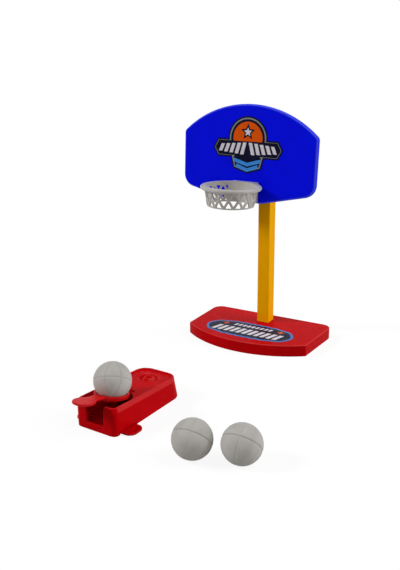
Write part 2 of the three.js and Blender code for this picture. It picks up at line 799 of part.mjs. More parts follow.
function basket() {
  const foot = RIM_TOP - NET_DEPTH;
  const topInner = netRadius(RIM_TOP) - NET_WALL;
  const footRadius = netRadius(foot);
  const rim = ring(RIM_RADIUS, topInner, RIM_TOP - RIM_HEIGHT, RIM_TOP, RIM_EDGE);
  const footRing = ring(footRadius, footRadius - NET_WALL, foot, foot + NET_FOOT_RING, 0);
  const ribs = Array.from({ length: NET_BAYS }, (_, bay) => [netRib(bay, 1), netRib(bay, -1)]).flat();
  const net = hung(joined(rim, footRing, ...ribs));
  // The flat plate against the backboard, with webs to a closed stretch of the net's wall
  const face = RIM_REACH - SEAT_GAP;
  const blockFront = netRadius(foot) - NET_WALL - PLATE_THICKNESS;
  const block = box(-PLATE_HALF_WIDTH, PLATE_HALF_WIDTH, blockFront, face, PLATE_LOW, RIM_TOP);
  const core = box(
    -PLATE_HALF_WIDTH + PLATE_THICKNESS,
    PLATE_HALF_WIDTH - PLATE_THICKNESS,
    blockFront,
    face - PLATE_THICKNESS,
    PLATE_LOW - OVERRUN,
    RIM_TOP - RIM_HEIGHT,
  );
  const wall = netCone(0, foot, RIM_TOP).intersect(
    box(-PLATE_HALF_WIDTH, PLATE_HALF_WIDTH, blockFront, face, foot, RIM_TOP),
  );
  const carrier = joined(cut(block, core), wall);
  const inside = hung(netCone(NET_WALL, foot - OVERRUN, RIM_TOP + OVERRUN));
  const whole = cut(joined(net, carrier), inside.intersect(rearHalf()));
  const moved = whole.translate([0, -RIM_REACH, 0]);
  return joined(moved, hook(-HOOK_X), hook(HOOK_X));
}

function rearHalf() {
  const far = RIM_RADIUS + OVERRUN;
  return box(-far, far, 0, far, -OVERRUN * 2, RIM_TOP + OVERRUN * 2);
}

// Labels

function labelShape(halfWidth, low, high, round) {
  return roundedShape([
    { x: -halfWidth, y: low, round },
    { x: halfWidth, y: low, round },
    { x: halfWidth, y: high, round },
    { x: -halfWidth, y: high, round },
  ]);
}

function boardLabel() {
  const { halfWidth, low, high, round } = BOARD_LABEL;
  const shape = labelShape(halfWidth, low, high, round);
  return deepened(shape, -LABEL_GAP - LABEL_THICKNESS, -LABEL_GAP);
}

function baseLabel() {
  const { halfWidth, front, back, round } = BASE_LABEL;
  const low = BASE_HEIGHT + LABEL_GAP;
  const arc = raised(roundedShape(baseCorners(BASE_WALL * 2)), low, low + LABEL_THICKNESS);
  const label = raised(labelShape(halfWidth, front, back, round), low, low + LABEL_THICKNESS);
  return arc.intersect(label);
}

// Launcher

const CAVITY_HALF_WIDTH = HOUSING_HALF_WIDTH - HOUSING_WALL;
const LAUNCHER_SCREW_PLACES = [
  ...mirroredPlaces({
    x: CAVITY_HALF_WIDTH - LAUNCHER_BOSS_INSET,
    y: HOUSING_WALL + LAUNCHER_BOSS_INSET,
  }),
  ...mirroredPlaces(REAR_BOSS),
];

// The top falls gently from the front to the back. This is its height, less a drop, at a place.
function belowTop(drop) {
  return (y) => {
    const share = y / HOUSING_TOP_BACK_Y;
    return THREE.MathUtils.lerp(HOUSING_TOP_FRONT_Z, HOUSING_TOP_BACK_Z, share) - drop;
  };
}

// The shoulder falls less, so the bevel over it is narrower at the back.
function shoulderAt(y) {
  const share = y / HOUSING_SHOULDER_BACK_Y;
  return THREE.MathUtils.lerp(HOUSING_SHOULDER_FRONT_Z, HOUSING_SHOULDER_BACK_Z, share);
}

const deckAt = belowTop(DECK_DROP);
const deckUnderAt = belowTop(DECK_DROP + DECK_THICKNESS);

function level(z) {
  return () => z;
}

// The back wall leans forward as it rises from the table to the shoulder, and is rounded less.
function housingBackAt(z) {
  const share = z / HOUSING_SHOULDER_BACK_Z;
  return {
    y: THREE.MathUtils.lerp(HOUSING_FOOT_BACK_Y, HOUSING_SHOULDER_BACK_Y, share),
    round: THREE.MathUtils.lerp(HOUSING_FOOT_BACK_ROUND, HOUSING_SHOULDER_BACK_ROUND, share),
  };
}

function launcherRing(half, front, back, frontRound, backRound, heightAt) {
  const corners = [
    { x: half - frontRound, y: front + frontRound, round: frontRound, start: -Math.PI / 2 },
    { x: half - backRound, y: back - backRound, round: backRound, start: 0 },
    { x: -half + backRound, y: back - backRound, round: backRound, start: Math.PI / 2 },
    { x: -half + frontRound, y: front + frontRound, round: frontRound, start: Math.PI },
  ];
  return corners.flatMap(({ x, y, round, start }) =>
    Array.from({ length: CORNER_STEPS + 1 }, (_, step) => {
      const angle = start + (Math.PI / 2) * (step / CORNER_STEPS);
      const along = y + round * Math.sin(angle);
      return new THREE.Vector3(x + round * Math.cos(angle), along, heightAt(along));
    }),
  );
}

// The outline of the walls where their back stands at a height.
function bodyRing(inset, backZ, heightAt) {
  const back = housingBackAt(backZ);
  return launcherRing(
    HOUSING_HALF_WIDTH - inset,
    inset,
    back.y - inset,
    Math.max(HOUSING_FRONT_ROUND - inset, HOUSING_FRONT_ROUND / 2),
    back.round - inset,
    heightAt,
  );
}

function topRing(inset, heightAt) {
  const edge = HOUSING_SHOULDER_INSET + inset;
  return launcherRing(
    HOUSING_HALF_WIDTH - edge,
    edge,
    HOUSING_TOP_BACK_Y - inset,
    HOUSING_FRONT_ROUND - inset,
    HOUSING_TOP_BACK_ROUND - inset,
    heightAt,
  );
}

function hanger(side) {
  const near = BARREL_HALF_LENGTH + SEAT_GAP;
  const far = near + HANGER_THICKNESS;
  return box(
    side > 0 ? near : -far,
    side > 0 ? far : -near,
    PIVOT_Y - HANGER_HALF_LENGTH,
    PIVOT_Y + HANGER_HALF_LENGTH,
    PIVOT_Z - HANGER_DROP,
    deckUnderAt(PIVOT_Y) + DECK_THICKNESS / 2,
  );
}

function wellFrontShape() {
  return roundedShape([
    { x: -WELL_RADIUS, y: WELL_FRONT_Y, round: WELL_FRONT_ROUND },
    { x: WELL_RADIUS, y: WELL_FRONT_Y, round: WELL_FRONT_ROUND },
    { x: WELL_RADIUS, y: WELL_Y, round: 0 },
    { x: -WELL_RADIUS, y: WELL_Y, round: 0 },
  ]);
}

// The slot for the lever's neck, wider towards its mouth.
function slotShape(high) {
  const neck = HOUSING_TOP_FRONT_Z - SLOT_FLARE;
  const half = [
    [SLOT_FOOT_HALF_WIDTH, SILL_Z],
    [SLOT_HALF_WIDTH, neck],
    [SLOT_HALF_WIDTH + SLOT_FLARE, HOUSING_TOP_FRONT_Z],
    [SLOT_HALF_WIDTH + SLOT_FLARE, high],
  ];
  const right = half.map(([x, z]) => new THREE.Vector2(SLOT_X + x, z));
  const left = half.map(([x, z]) => new THREE.Vector2(SLOT_X - x, z)).reverse();
  return new THREE.Shape([...right, ...left]);
}

function housing() {
  const outside = lofted([
    bodyRing(0, 0, level(0)),
    bodyRing(0, HOUSING_SHOULDER_BACK_Z, shoulderAt),
    topRing(0, belowTop(0)),
  ]);
  const cavity = lofted([
    bodyRing(HOUSING_WALL, -OVERRUN, level(-OVERRUN)),
    bodyRing(HOUSING_WALL, deckUnderAt(HOUSING_SHOULDER_BACK_Y), deckUnderAt),
  ]);
  const recess = lofted([topRing(RIM_BAND, deckAt), topRing(RIM_BAND, belowTop(-OVERRUN))]);
  const cutLow = deckUnderAt(HOUSING_TOP_BACK_Y) - OVERRUN;
  const cutHigh = HOUSING_TOP_FRONT_Z + OVERRUN;
  const well = joined(
    rodUp(WELL_RADIUS, 0, WELL_Y, cutLow, cutHigh, NET_SIDES),
    raised(wellFrontShape(), cutLow, cutHigh),
  );
  const slot = deepened(slotShape(cutHigh), -OVERRUN, WELL_Y);
  const dimpleFloor = deckAt(DIMPLE_Y) - DIMPLE_DEPTH;
  const dimple = rodUp(DIMPLE_RADIUS, 0, DIMPLE_Y, dimpleFloor, cutHigh);
  const deckSlot = box(
    -DECK_SLOT_HALF_WIDTH,
    DECK_SLOT_HALF_WIDTH,
    DECK_SLOT_Y,
    DECK_SLOT_Y + DECK_SLOT_LENGTH,
    cutLow,
    cutHigh,
  );
  const earNotch = box(
    EAR_X - EAR_REACH,
    EAR_X + EAR_REACH,
    EAR_FRONT_Y - SEAT_GAP,
    EAR_BACK_Y + SEAT_GAP,
    -OVERRUN,
    EAR_LOW + EAR_THICKNESS + SEAT_GAP,
  );
  const latch = box(
    LATCH_WINDOW.x - LATCH_WINDOW.halfWidth,
    LATCH_WINDOW.x + LATCH_WINDOW.halfWidth,
    -OVERRUN,
    LATCH_WINDOW.depth,
    LATCH_WINDOW.low,
    LATCH_WINDOW.high,
  );
  const shell = cut(outside, cavity, recess, well, slot, dimple, deckSlot, earNotch, latch);
  const bossFoot = PLATE_FLOOR + SEAT_GAP;
  const bosses = LAUNCHER_SCREW_PLACES.map(({ x, y }) => {
    const atRear = y > WELL_Y;
    const top = atRear ? deckUnderAt(y) + DECK_THICKNESS / 2 : FRONT_BOSS_TOP_Z;
    return rodUp(LAUNCHER_BOSS_RADIUS, x, y, bossFoot, top);
  });
  const pilots = LAUNCHER_SCREW_PLACES.map(({ x, y }) => pilotUp(x, y, 0, SCREW_LENGTH + SEAT_GAP));
  const under = deckUnderAt(DIMPLE_Y);
  const backing = rodUp(
    DIMPLE_RADIUS + DIMPLE_BACKING_MARGIN,
    0,
    DIMPLE_Y,
    under - DIMPLE_BACKING,
    under + DECK_THICKNESS / 4,
  );
  const bumpProfile = [
    [0, -DIMPLE_BACKING],
    [BUMP_RADIUS, -DIMPLE_BACKING],
    [BUMP_RADIUS, 0],
    [BUMP_TOP_RADIUS, BUMP_HEIGHT],
    [0, BUMP_HEIGHT],
  ];
  const bump = cut(
    solidOf(turned(bumpProfile)).translate([0, DIMPLE_Y, dimpleFloor]),
    rodUp(BUMP_HOLE_RADIUS, 0, DIMPLE_Y, dimpleFloor, cutHigh),
  );
  const bore = PIN_RADIUS + RUN_GAP;
  const span = BARREL_HALF_LENGTH + HANGER_THICKNESS + OVERRUN;
  const pinPath = joined(
    rodAcross(bore, -span, span, PIVOT_Y, PIVOT_Z),
    box(-span, span, PIVOT_Y - bore, PIVOT_Y + bore, 0, PIVOT_Z),
  );
  const hangers = cut(joined(hanger(-1), hanger(1)), pinPath);
  return joined(cut(joined(shell, ...bosses), ...pilots), backing, bump, hangers);
}

function earShape() {
  return roundedShape([
    { x: EAR_X - EAR_REACH, y: EAR_FRONT_Y, round: EAR_ROUND },
    { x: EAR_X + EAR_REACH, y: EAR_FRONT_Y, round: EAR_ROUND },
    { x: EAR_X + EAR_REACH, y: EAR_BACK_Y, round: EAR_ROUND },
    { x: EAR_X - EAR_REACH, y: EAR_BACK_Y, round: EAR_ROUND },
  ]);
}

function bottomPlate() {
  const inset = HOUSING_WALL + SEAT_GAP;
  const outline = (z) => bodyRing(inset, PLATE_FLOOR, level(z));
  const floor = lofted([outline(0), outline(PLATE_FLOOR)]);
  const ears = raised(earShape(), EAR_LOW, EAR_LOW + EAR_THICKNESS);
  const spigot = rodUp(
    SPRING_RADIUS - SPRING_WIRE_RADIUS - SEAT_GAP,
    0,
    SPRING_Y,
    PLATE_FLOOR / 2,
    PLATE_FLOOR + SPIGOT_HEIGHT,
  );
  const near = BARREL_HALF_LENGTH + SEAT_GAP * 2;
  const far = BARREL_HALF_LENGTH + HANGER_THICKNESS;
  const thin = PIN_RADIUS + RUN_GAP - SEAT_GAP;
  const propTop = PIVOT_Z - PIN_RADIUS - RUN_GAP;
  const props = [
    box(-far, -near, PIVOT_Y - thin, PIVOT_Y + thin, PLATE_FLOOR / 2, propTop),
    box(near, far, PIVOT_Y - thin, PIVOT_Y + thin, PLATE_FLOOR / 2, propTop),
  ];
  const pockets = LAUNCHER_SCREW_PLACES.map(({ x, y }) => headPocket(x, y));
  const holes = LAUNCHER_SCREW_PLACES.map(({ x, y }) => pilotUp(x, y, -OVERRUN, PLATE_FLOOR + OVERRUN));
  return cut(joined(floor, ears, spigot, ...props), ...pockets, ...holes);
}

// Lever

const CUP_BALL_HEIGHT = Math.sqrt(
  (BALL_RADIUS + SEAT_GAP) ** 2 - CUP_MOUTH_RADIUS ** 2,
);

// A point given in the launcher's frame, in the lever's frame.
function leverPoint(y, z) {
  const dy = y - LEVER_Y;
  const dz = z - LEVER_Z;
  return {
    y: dy * Math.cos(LEVER_TILT) - dz * Math.sin(LEVER_TILT),
    z: dy * Math.sin(LEVER_TILT) + dz * Math.cos(LEVER_TILT),
  };
}

function lever() {
  const hollowRadius = BALL_RADIUS + SEAT_GAP;
  const skinRadius = hollowRadius + CUP_WALL;
  const floorSweep = Math.asin(CUP_FLOOR_RADIUS / skinRadius);
  const under = Array.from({ length: CUP_STEPS + 1 }, (_, step) => {
    const angle = (floorSweep * step) / CUP_STEPS;
    return [skinRadius * Math.sin(angle), CUP_BALL_HEIGHT - skinRadius * Math.cos(angle)];
  });
  const cup = solidOf(
    turned([...under, [CUP_RADIUS, -CUP_SKIRT], [CUP_RADIUS, 0], [0, 0]], NET_SIDES),
  );
  const pivot = leverPoint(PIVOT_Y, PIVOT_Z);
  const neck = box(
    -NECK_HALF_WIDTH,
    NECK_HALF_WIDTH,
    -TAB_REACH,
    -CUP_MOUTH_RADIUS,
    -TAB_THICKNESS,
    0,
  );
  const tab = rodUp(TAB_RADIUS, 0, -TAB_REACH, -TAB_THICKNESS, 0, NET_SIDES);
  const arm = box(-ARM_HALF_WIDTH, ARM_HALF_WIDTH, 0, pivot.y, -ARM_TOP - ARM_THICKNESS, -ARM_TOP);
  const barrel = rodAcross(BARREL_RADIUS, -BARREL_HALF_LENGTH, BARREL_HALF_LENGTH, pivot.y, pivot.z);
  const hollow = new THREE.SphereGeometry(hollowRadius, NET_SIDES, ROUND_SIDES);
  hollow.rotateX(Math.PI / 2);
  hollow.translate(0, 0, CUP_BALL_HEIGHT);
  const bore = rodAcross(
    PIN_RADIUS + RUN_GAP,
    -BARREL_HALF_LENGTH - OVERRUN,
    BARREL_HALF_LENGTH + OVERRUN,
    pivot.y,
    pivot.z,
  );
  return cut(joined(cup, neck, tab, arm, barrel), solidOf(hollow), bore);
}

function pivotPin() {
  const half = BARREL_HALF_LENGTH + SEAT_GAP + HANGER_THICKNESS;
  return rodAcross(PIN_RADIUS, -half, half, 0, 0);
}

// The wire's middle line: a helix between the plate's floor and the arm's underside.
class SpringLine extends THREE.Curve {
  constructor(radius, low, high, turns) {
    super();
    Object.assign(this, { radius, low, high, turns });
  }

  getPoint(share, target = new THREE.Vector3()) {
    const angle = 2 * Math.PI * this.turns * share;
    return target.set(
      this.radius * Math.cos(angle),
      this.radius * Math.sin(angle),
      this.low + (this.high - this.low) * share,
    );
  }
}

// Height of the arm's underside over the spring's far edge, in the launcher's frame.
function armUndersideOver(y) {
  const under = -ARM_TOP - ARM_THICKNESS;
  const along = (y - LEVER_Y - under * Math.sin(LEVER_TILT)) / Math.cos(LEVER_TILT);
  return LEVER_Z - along * Math.sin(LEVER_TILT) + under * Math.cos(LEVER_TILT);
}

function springGeometry() {
  const reach = SPRING_RADIUS + SPRING_WIRE_RADIUS;
  const low = PLATE_FLOOR + SEAT_GAP + SPRING_WIRE_RADIUS;
  const high = armUndersideOver(SPRING_Y + reach) - SEAT_GAP - SPRING_WIRE_RADIUS;
  const line = new SpringLine(SPRING_RADIUS, low, high, SPRING_TURNS);
  const steps = SPRING_TURNS * SPRING_STEPS_PER_TURN;
  const section = new THREE.Shape(
    Array.from({ length: SPRING_WIRE_SIDES }, (_, side) => {
      const angle = (2 * Math.PI * side) / SPRING_WIRE_SIDES;
      return new THREE.Vector2(
        SPRING_WIRE_RADIUS * Math.cos(angle),
        SPRING_WIRE_RADIUS * Math.sin(angle),
      );
    }),
  );
  const points = line.getPoints(steps);
  const gaps = points.flatMap((point, index) =>
    points
      .slice(index + SPRING_STEPS_PER_TURN / 2)
      .map((other) => point.distanceTo(other) - 2 * SPRING_WIRE_RADIUS),
  );
  console.log(`lever_spring: least gap between turns ${Math.min(...gaps).toFixed(2)} mm`);
  return new THREE.ExtrudeGeometry(section, { steps, bevelEnabled: false, extrudePath: line });
}

// Assembly

const group = new THREE.Group();

// The board leans back at its foot, and is rolled about the middle between its screws.
const boardMiddle = new THREE.Vector3(0, 0, BOARD_SCREW_HEIGHT);
const boardFrame = new THREE.Group();
boardFrame.rotation.set(-BOARD_LEAN, BOARD_ROLL, 0);
boardFrame.position.set(0, BOARD_FOOT_Y, BOARD_FOOT_Z);
boardFrame.position.add(boardMiddle.clone().applyEuler(new THREE.Euler(-BOARD_LEAN, 0, 0)));
boardFrame.position.sub(boardMiddle.applyEuler(boardFrame.rotation));
boardFrame.updateMatrix();
group.add(boardFrame);

const launcher = new THREE.Group();
launcher.position.set(LAUNCHER_X, LAUNCHER_Y, 0);
launcher.rotation.z = LAUNCHER_TURN;
group.add(launcher);

const leverFrame = new THREE.Group();
leverFrame.position.set(0, LEVER_Y, LEVER_Z);
leverFrame.rotation.x = -LEVER_TILT;
launcher.add(leverFrame);

function addStand() {
  piece(group, "base_shell", geometryOf(baseShell()), "red");
  piece(group, "base_cover", geometryOf(baseCover()), "red");
  piece(group, "base_label", geometryOf(baseLabel()), "film");
  piece(group, "post", geometryOf(post()), "yellow");
  piece(group, "board_bracket", geometryOf(bracket()), "yellow");
  BASE_SCREW_PLACES.forEach(({ x, y }, index) => {
    const place = new THREE.Vector3(x, y, SCREW_HEAD_SINK);
    screw(group, `base_screw_${index + 1}`, SCREW_LENGTH - SCREW_HEAD_SINK, place);
  });
  const foot = new THREE.Vector3(0, POST_MIDDLE_Y, SCREW_HEAD_SINK);
  screw(group, "post_foot_screw", SCREW_LENGTH - SCREW_HEAD_SINK, foot);
  const sleeveBack = POST_DEPTH + SEAT_GAP + BRACKET_WALL + SEAT_GAP + SCREW_HEAD_HEIGHT;
  const rear = new THREE.Vector3(0, sleeveBack, BRACKET_SCREW_Z);
  screw(group, "post_top_screw", BRACKET_SCREW_LENGTH, rear).rotation.x = Math.PI / 2;
}

function addBoard() {
  piece(boardFrame, "backboard", geometryOf(backboard()), "blue");
  piece(boardFrame, "backboard_label", geometryOf(boardLabel()), "film");
  piece(boardFrame, "basket", geometryOf(basket()), "net");
  const headBack =
    BOARD_THICKNESS + BOARD_BOSS_LENGTH + SEAT_GAP + BRACKET_WALL + SEAT_GAP + SCREW_HEAD_HEIGHT;
  const names = ["bracket_screw_left", "bracket_screw_right"];
  [-BRACKET_SCREW_X, BRACKET_SCREW_X].forEach((x, index) => {
    const place = new THREE.Vector3(x, headBack, BOARD_SCREW_HEIGHT);
    screw(boardFrame, names[index], BRACKET_SCREW_LENGTH, place).rotation.x = Math.PI / 2;
  });
}

function addLauncher() {
  piece(launcher, "launcher_housing", geometryOf(housing()), "red");
  piece(launcher, "launcher_bottom_plate", geometryOf(bottomPlate()), "red");
  LAUNCHER_SCREW_PLACES.forEach(({ x, y }, index) => {
    const place = new THREE.Vector3(x, y, SCREW_HEAD_SINK);
    screw(launcher, `launcher_screw_${index + 1}`, SCREW_LENGTH - SCREW_HEAD_SINK, place);
  });
  piece(launcher, "pivot_pin", geometryOf(pivotPin()), "steel").position.set(0, PIVOT_Y, PIVOT_Z);
  piece(launcher, "lever_spring", springGeometry(), "steel").position.set(0, SPRING_Y, 0);
  piece(leverFrame, "launcher_lever", geometryOf(lever()), "red");
}

function addBalls() {
  const loaded = piece(leverFrame, "ball_in_cup", ballGeometry(), "ball");
  loaded.position.set(0, 0, CUP_BALL_HEIGHT);
  Object.entries(SPARE_BALL_PLACES).forEach(([name, { x, y }]) => {
    piece(group, name, ballGeometry(), "ball").position.set(x, y, BALL_RADIUS);
  });
}

addStand();
addBoard();
addLauncher();
addBalls();

export default group;
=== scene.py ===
import math

import bmesh
import bpy
import numpy as np
from mathutils import Matrix, Vector


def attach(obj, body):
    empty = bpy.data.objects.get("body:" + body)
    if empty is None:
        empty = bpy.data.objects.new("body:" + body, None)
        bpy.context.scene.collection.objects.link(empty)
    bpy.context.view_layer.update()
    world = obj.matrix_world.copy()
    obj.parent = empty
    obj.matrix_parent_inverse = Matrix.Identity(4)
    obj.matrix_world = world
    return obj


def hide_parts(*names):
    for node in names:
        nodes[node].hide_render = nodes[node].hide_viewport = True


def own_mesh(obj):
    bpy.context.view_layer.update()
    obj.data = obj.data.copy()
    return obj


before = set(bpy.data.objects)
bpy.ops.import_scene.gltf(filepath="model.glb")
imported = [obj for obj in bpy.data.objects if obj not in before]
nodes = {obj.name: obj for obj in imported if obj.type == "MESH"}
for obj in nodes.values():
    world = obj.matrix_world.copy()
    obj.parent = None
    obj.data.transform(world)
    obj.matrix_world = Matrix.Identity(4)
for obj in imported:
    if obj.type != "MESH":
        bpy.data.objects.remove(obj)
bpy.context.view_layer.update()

MM = 0.001
SEAT = 0.3  # clearance between pieces
OVERRUN = 2  # reach of a cut past the surface
FAR = 30

# Frames of the backboard, the launcher and its lever, in millimetres
BOARD_FOOT = (0, -31.7, 118.6)
BOARD_LEAN = math.radians(1.83)
BOARD_ROLL = math.radians(1.1)
BOARD_SCREW_Z = 33.917
LAUNCHER_PLACE = (-12.4, -210.6, 0)
LAUNCHER_TURN = math.radians(-1.97)
LEVER_PLACE = (0, 17.4, 20.6)
LEVER_TILT = math.radians(10)

WORLD = Matrix.Identity(4)
BOARD_MIDDLE = Matrix.Translation((0, 0, BOARD_SCREW_Z))
BOARD_SET = BOARD_MIDDLE @ Matrix.Rotation(BOARD_ROLL, 4, "Y") @ BOARD_MIDDLE.inverted()
BOARD = Matrix.Translation(BOARD_FOOT) @ Matrix.Rotation(-BOARD_LEAN, 4, "X") @ BOARD_SET
LAUNCHER = Matrix.Translation(LAUNCHER_PLACE) @ Matrix.Rotation(LAUNCHER_TURN, 4, "Z")
LEVER = LAUNCHER @ Matrix.Translation(LEVER_PLACE) @ Matrix.Rotation(-LEVER_TILT, 4, "X")

# Camera, solved from the photograph
CAMERA_PLACE = Vector((257.45, -520.29, 221.71))
CAMERA_TURN = math.radians(31.614)
CAMERA_PITCH = math.radians(17.159)
CAMERA_ROLL = math.radians(-0.694)
CAMERA_LENS = 44.97
CAMERA_SENSOR = 36

# Stand
BASE_HEIGHT = 9.4
BASE_WALL = 2
BASE_FRONT_HALF = 54.2
BASE_BACK_HALF = 56.2
BASE_CORNER_Y = -31.6
BASE_BULGE = 18.6
BASE_BACK_Y = 20.2
BASE_BACK_ROUND = 8
BASE_FRONT_ROUND = 1.3
BASE_FOOT_EDGE = 0.25
BASE_TOP_EDGE = 0.7
BASE_SCREWS = ((-45, -25), (45, -25), (-46, 9), (46, 9))
POST_HALF = 5.3
POST_DEPTH = 10.9
POST_FOOT_Z = 2.3
POST_TOP_Z = 164
POST_ROUND = 0.6
POST_FOOT_EDGE = 0.3
POST_TOP_EDGE = 0.4
POST_TOP_SCREW = (0, 14.5, 152.5)

# Backboard, in its own frame
BOARD_HALF = 57.19
BOARD_HEIGHT = 74.78
BOARD_ARC = 84.3
BOARD_THICKNESS = 4.5
BOARD_FLAT = 13
BOARD_RISE = 10
BOARD_LOWER_ROUND = 10
BOARD_SHOULDER_ROUND = 4
BOARD_BACK_EDGE = 1.2
BOARD_FRONT_EDGE = 1.5
BOARD_SCREW_X = 12.5
BOARD_BOSS_RADIUS = 3.4
BOARD_BOSS_REACH = 2.5
BRACKET_SCREW_Y = 10.6
HOOK_SLOT_X = (4.9, 9.6)
HOOK_SLOT_Z = (6.2, 11.8)

# Basket, in the backboard's frame
RIM_RADIUS = 23.1
RIM_HEIGHT = 2.9
RIM_TOP = 16.6
RIM_REACH = 24.1
RIM_EDGE = 1.3
RIM_LIP = 0.5
RIM_LEDGE = 3.4
NET_TOP = 20.3
NET_FOOT = 17.9
NET_DEPTH = 15.3
NET_WALL = 1.7
NET_BAYS = 15
RIB_HALF = 0.98
FOOT_HEIGHT = 0.9
FOOT_BULGE = 0.1
CARRIER_HALF = 10.9
CARRIER_WALL = 2
CARRIER_LOW = 1.3
HOOK_X = (5.2, 8)
HOOK_Z = (6.5, 11.5)
HOOK_REACH = 1.9
BARB = ((7, 4.8), (9, 4.8), (8, 6.4), (7, 6.4))
HOOP_DROOP = math.radians(1.3)
HOOP_ROLL = math.radians(0.7)

# Launcher, in its own frame
HOUSING_HALF = 16.4
HOUSING_WALL = 2
TOP_FRONT_Z = 19.2
TOP_BACK_Z = 15.5
SHOULDER_FRONT_Z = 15.9
SHOULDER_BACK_Z = 13.1
SHOULDER_INSET = 0.9
FOOT_BACK_Y = 75.5
FOOT_BACK_ROUND = 12.4
SHOULDER_BACK_Y = 70.6
SHOULDER_BACK_ROUND = 9.8
TOP_BACK_Y = 70.6
TOP_BACK_ROUND = 8.8
FRONT_ROUND = 3.6
INNER_FRONT_ROUND = 1.8
RECESS_INSET = 1.3
DECK_DROP = 1
DECK_THICKNESS = 1.5
SLOT_X = -0.4
SLOT_SILL = 4.6
SLOT_FOOT_HALF = 7
SLOT_HALF = 7.65
SLOT_FLARE = 1.1
WELL_RADIUS = 13.2
WELL_Y = 17.7
WELL_FRONT_Y = 2.2
WELL_FRONT_ROUND = 5
SLIT = (-7.2, 7.2, 31.3, 32.8)  # its ends along x and y
NOTCH = (2.2, 6.2, -2, 1.1, 2.6, 3.7)  # its ends along x, y and z
DIMPLE_Y = 56.6
DIMPLE_DEPTH = 1.3
DIMPLE_WALL = ((5.9, 0), (6.2, 0.9), (6.9, 1.35))
DIMPLE_RADIUS = 7.2
DIMPLE_PAD = 8
# Corners of its outline, as radius and height
BUMP = (
    (0, -1), (4.2, -1), (4.2, 0.1), (3.55, 1.3), (3, 2.05), (2.3, 2.05), (1.6, 1.3), (1.2, 0.1), (0, 0)
)
PIVOT_Y = 38
PIVOT_Z = 10.5
HANGER_X = (6.4, 8.9)
HANGER_HALF = 3.7
HANGER_DROP = 3.6
PROP_X = (6.7, 8.6)
PROP_HALF = 0.8
PIN_RADIUS = 1
PIN_HALF = 8.9
PIN_EDGE = 0.15
BORE_RADIUS = 1.1
PLATE_TOP = 2
EAR_X = (-23.8, 25)
EAR_Y = (5.5, 19.7)
EAR_Z = (0.4, 1.8)
EAR_ROUND = 5.5
SCREW_POST_RADIUS = 2.3
SCREW_POST_TOP = 9
LAUNCHER_SCREWS = ((-11.9, 4.1), (11.9, 4.1), (-9, 62), (9, 62))
SPRING_Y = 27
SPRING_TOP = 11
SPRING_RADIUS = 2.6
SPRING_WIRE = 0.35
SPRING_TURNS = 5
SPIGOT_RADIUS = 1.95
SPIGOT_TOP = 4.2

# Lever, in its own frame
CUP_HOLLOW = 12.8
CUP_SKIN = 14.2
CUP_MOUTH = 10.3
CUP_FOOT = 8
CUP_RIM = ((11.5, -2.6), (11.5, -0.4), (11.1, 0), (10.35, 0))
LEVER_LOW = -1.5
NECK_HALF = 4
NECK_Y = (-26, -10.6)
NECK_TOP = -0.05
WEB = ((3.5, -18), (3.5, -21.5), (6.6, -22.9), (4.6, -20.6), (4.05, -19))
TAB_RADIUS = 7.3
TAB_Y = -26.6
ARM_HALF = 4.5
ARM_Y = 6
ARM_Z = (-6.6, -3.8)
BARREL_RADIUS = 3.2
BARREL_HALF = 6.1

# Balls
BALL_RADIUS = 12.5
BALL_LIFT = math.sqrt(CUP_HOLLOW ** 2 - CUP_MOUTH ** 2)
SPARE_BALLS = {"spare_ball_left": (57.6, -206.4), "spare_ball_right": (85.6, -196.9)}
SEAM_WIDTH = 0.5
THIN_SEAM_WIDTH = 0.45
OVAL_WIDE = math.radians(24)
OVAL_TALL = math.radians(64)
VENT_RADIUS = 0.7
VENT_DEPTH = 1.1
VENT_EDGE = 0.07

# Labels
BADGE_MIDDLE = (0, 45)
BADGE_RADIUS = 16.8
BADGE_DISC_Y = 49.1
BADGE_WING = ((-12, 26.2), (0, 22.6), (12, 26.2), (15, 37), (-15, 37))
BAND_Y = 41.5
PLAQUE_HALF = (39.4, 16.4)
PLAQUE_Y = -25
PLAQUE_POWER = 2.6
PLAQUE_WAVE = 0.45
PLAQUE_WAVES = 18

SCREW_SINK = 0.2
SCREW_LENGTH = 6.8
SHORT_SCREW_LENGTH = 6
SCREW_PROFILE = ((0, 0), (1.2, 0.03), (1.7, 0.2), (1.95, 0.55), (2, 0.85), (1.95, 1), (0.9, 1))

# Azimuth, elevation, strength and width of each lamp
LAMPS = {
    "left": (305, 35, 1.65, 14),
    "right": (112, 17, 1.45, 50),
    "high_right": (118, 52, 0.8, 40),
    "front": (22, 20, 0.32, 40),
    "top": (190, 60, 0.25, 60),
}


# Materials

def colour(red, green, blue):
    def linear(value):
        share = value / 255
        return share / 12.92 if share <= 0.04045 else ((share + 0.055) / 1.055) ** 2.4
    return (linear(red), linear(green), linear(blue), 1)


def new_material(name):
    material = bpy.data.materials.new(name)
    material.use_nodes = True
    tree = material.node_tree
    where = tree.nodes.new("ShaderNodeTexCoord").outputs["Object"]
    return material, tree, tree.nodes["Principled BSDF"], where


def add(tree, kind, **inputs):
    node = tree.nodes.new(kind)
    for key, value in inputs.items():
        if key in node.inputs:
            node.inputs[key].default_value = value
        else:
            setattr(node, key, value)
    return node


def noise(tree, where, scale, detail):
    node = add(tree, "ShaderNodeTexNoise", Scale=scale, Detail=detail)
    tree.links.new(where, node.inputs["Vector"])
    return node.outputs["Fac"]


def mapped(tree, value, low, high, start=0.3, end=0.7):
    node = tree.nodes.new("ShaderNodeMapRange")
    for name, limit in (("From Min", start), ("From Max", end), ("To Min", low), ("To Max", high)):
        node.inputs[name].default_value = limit
    tree.links.new(value, node.inputs["Value"])
    return node.outputs["Result"]


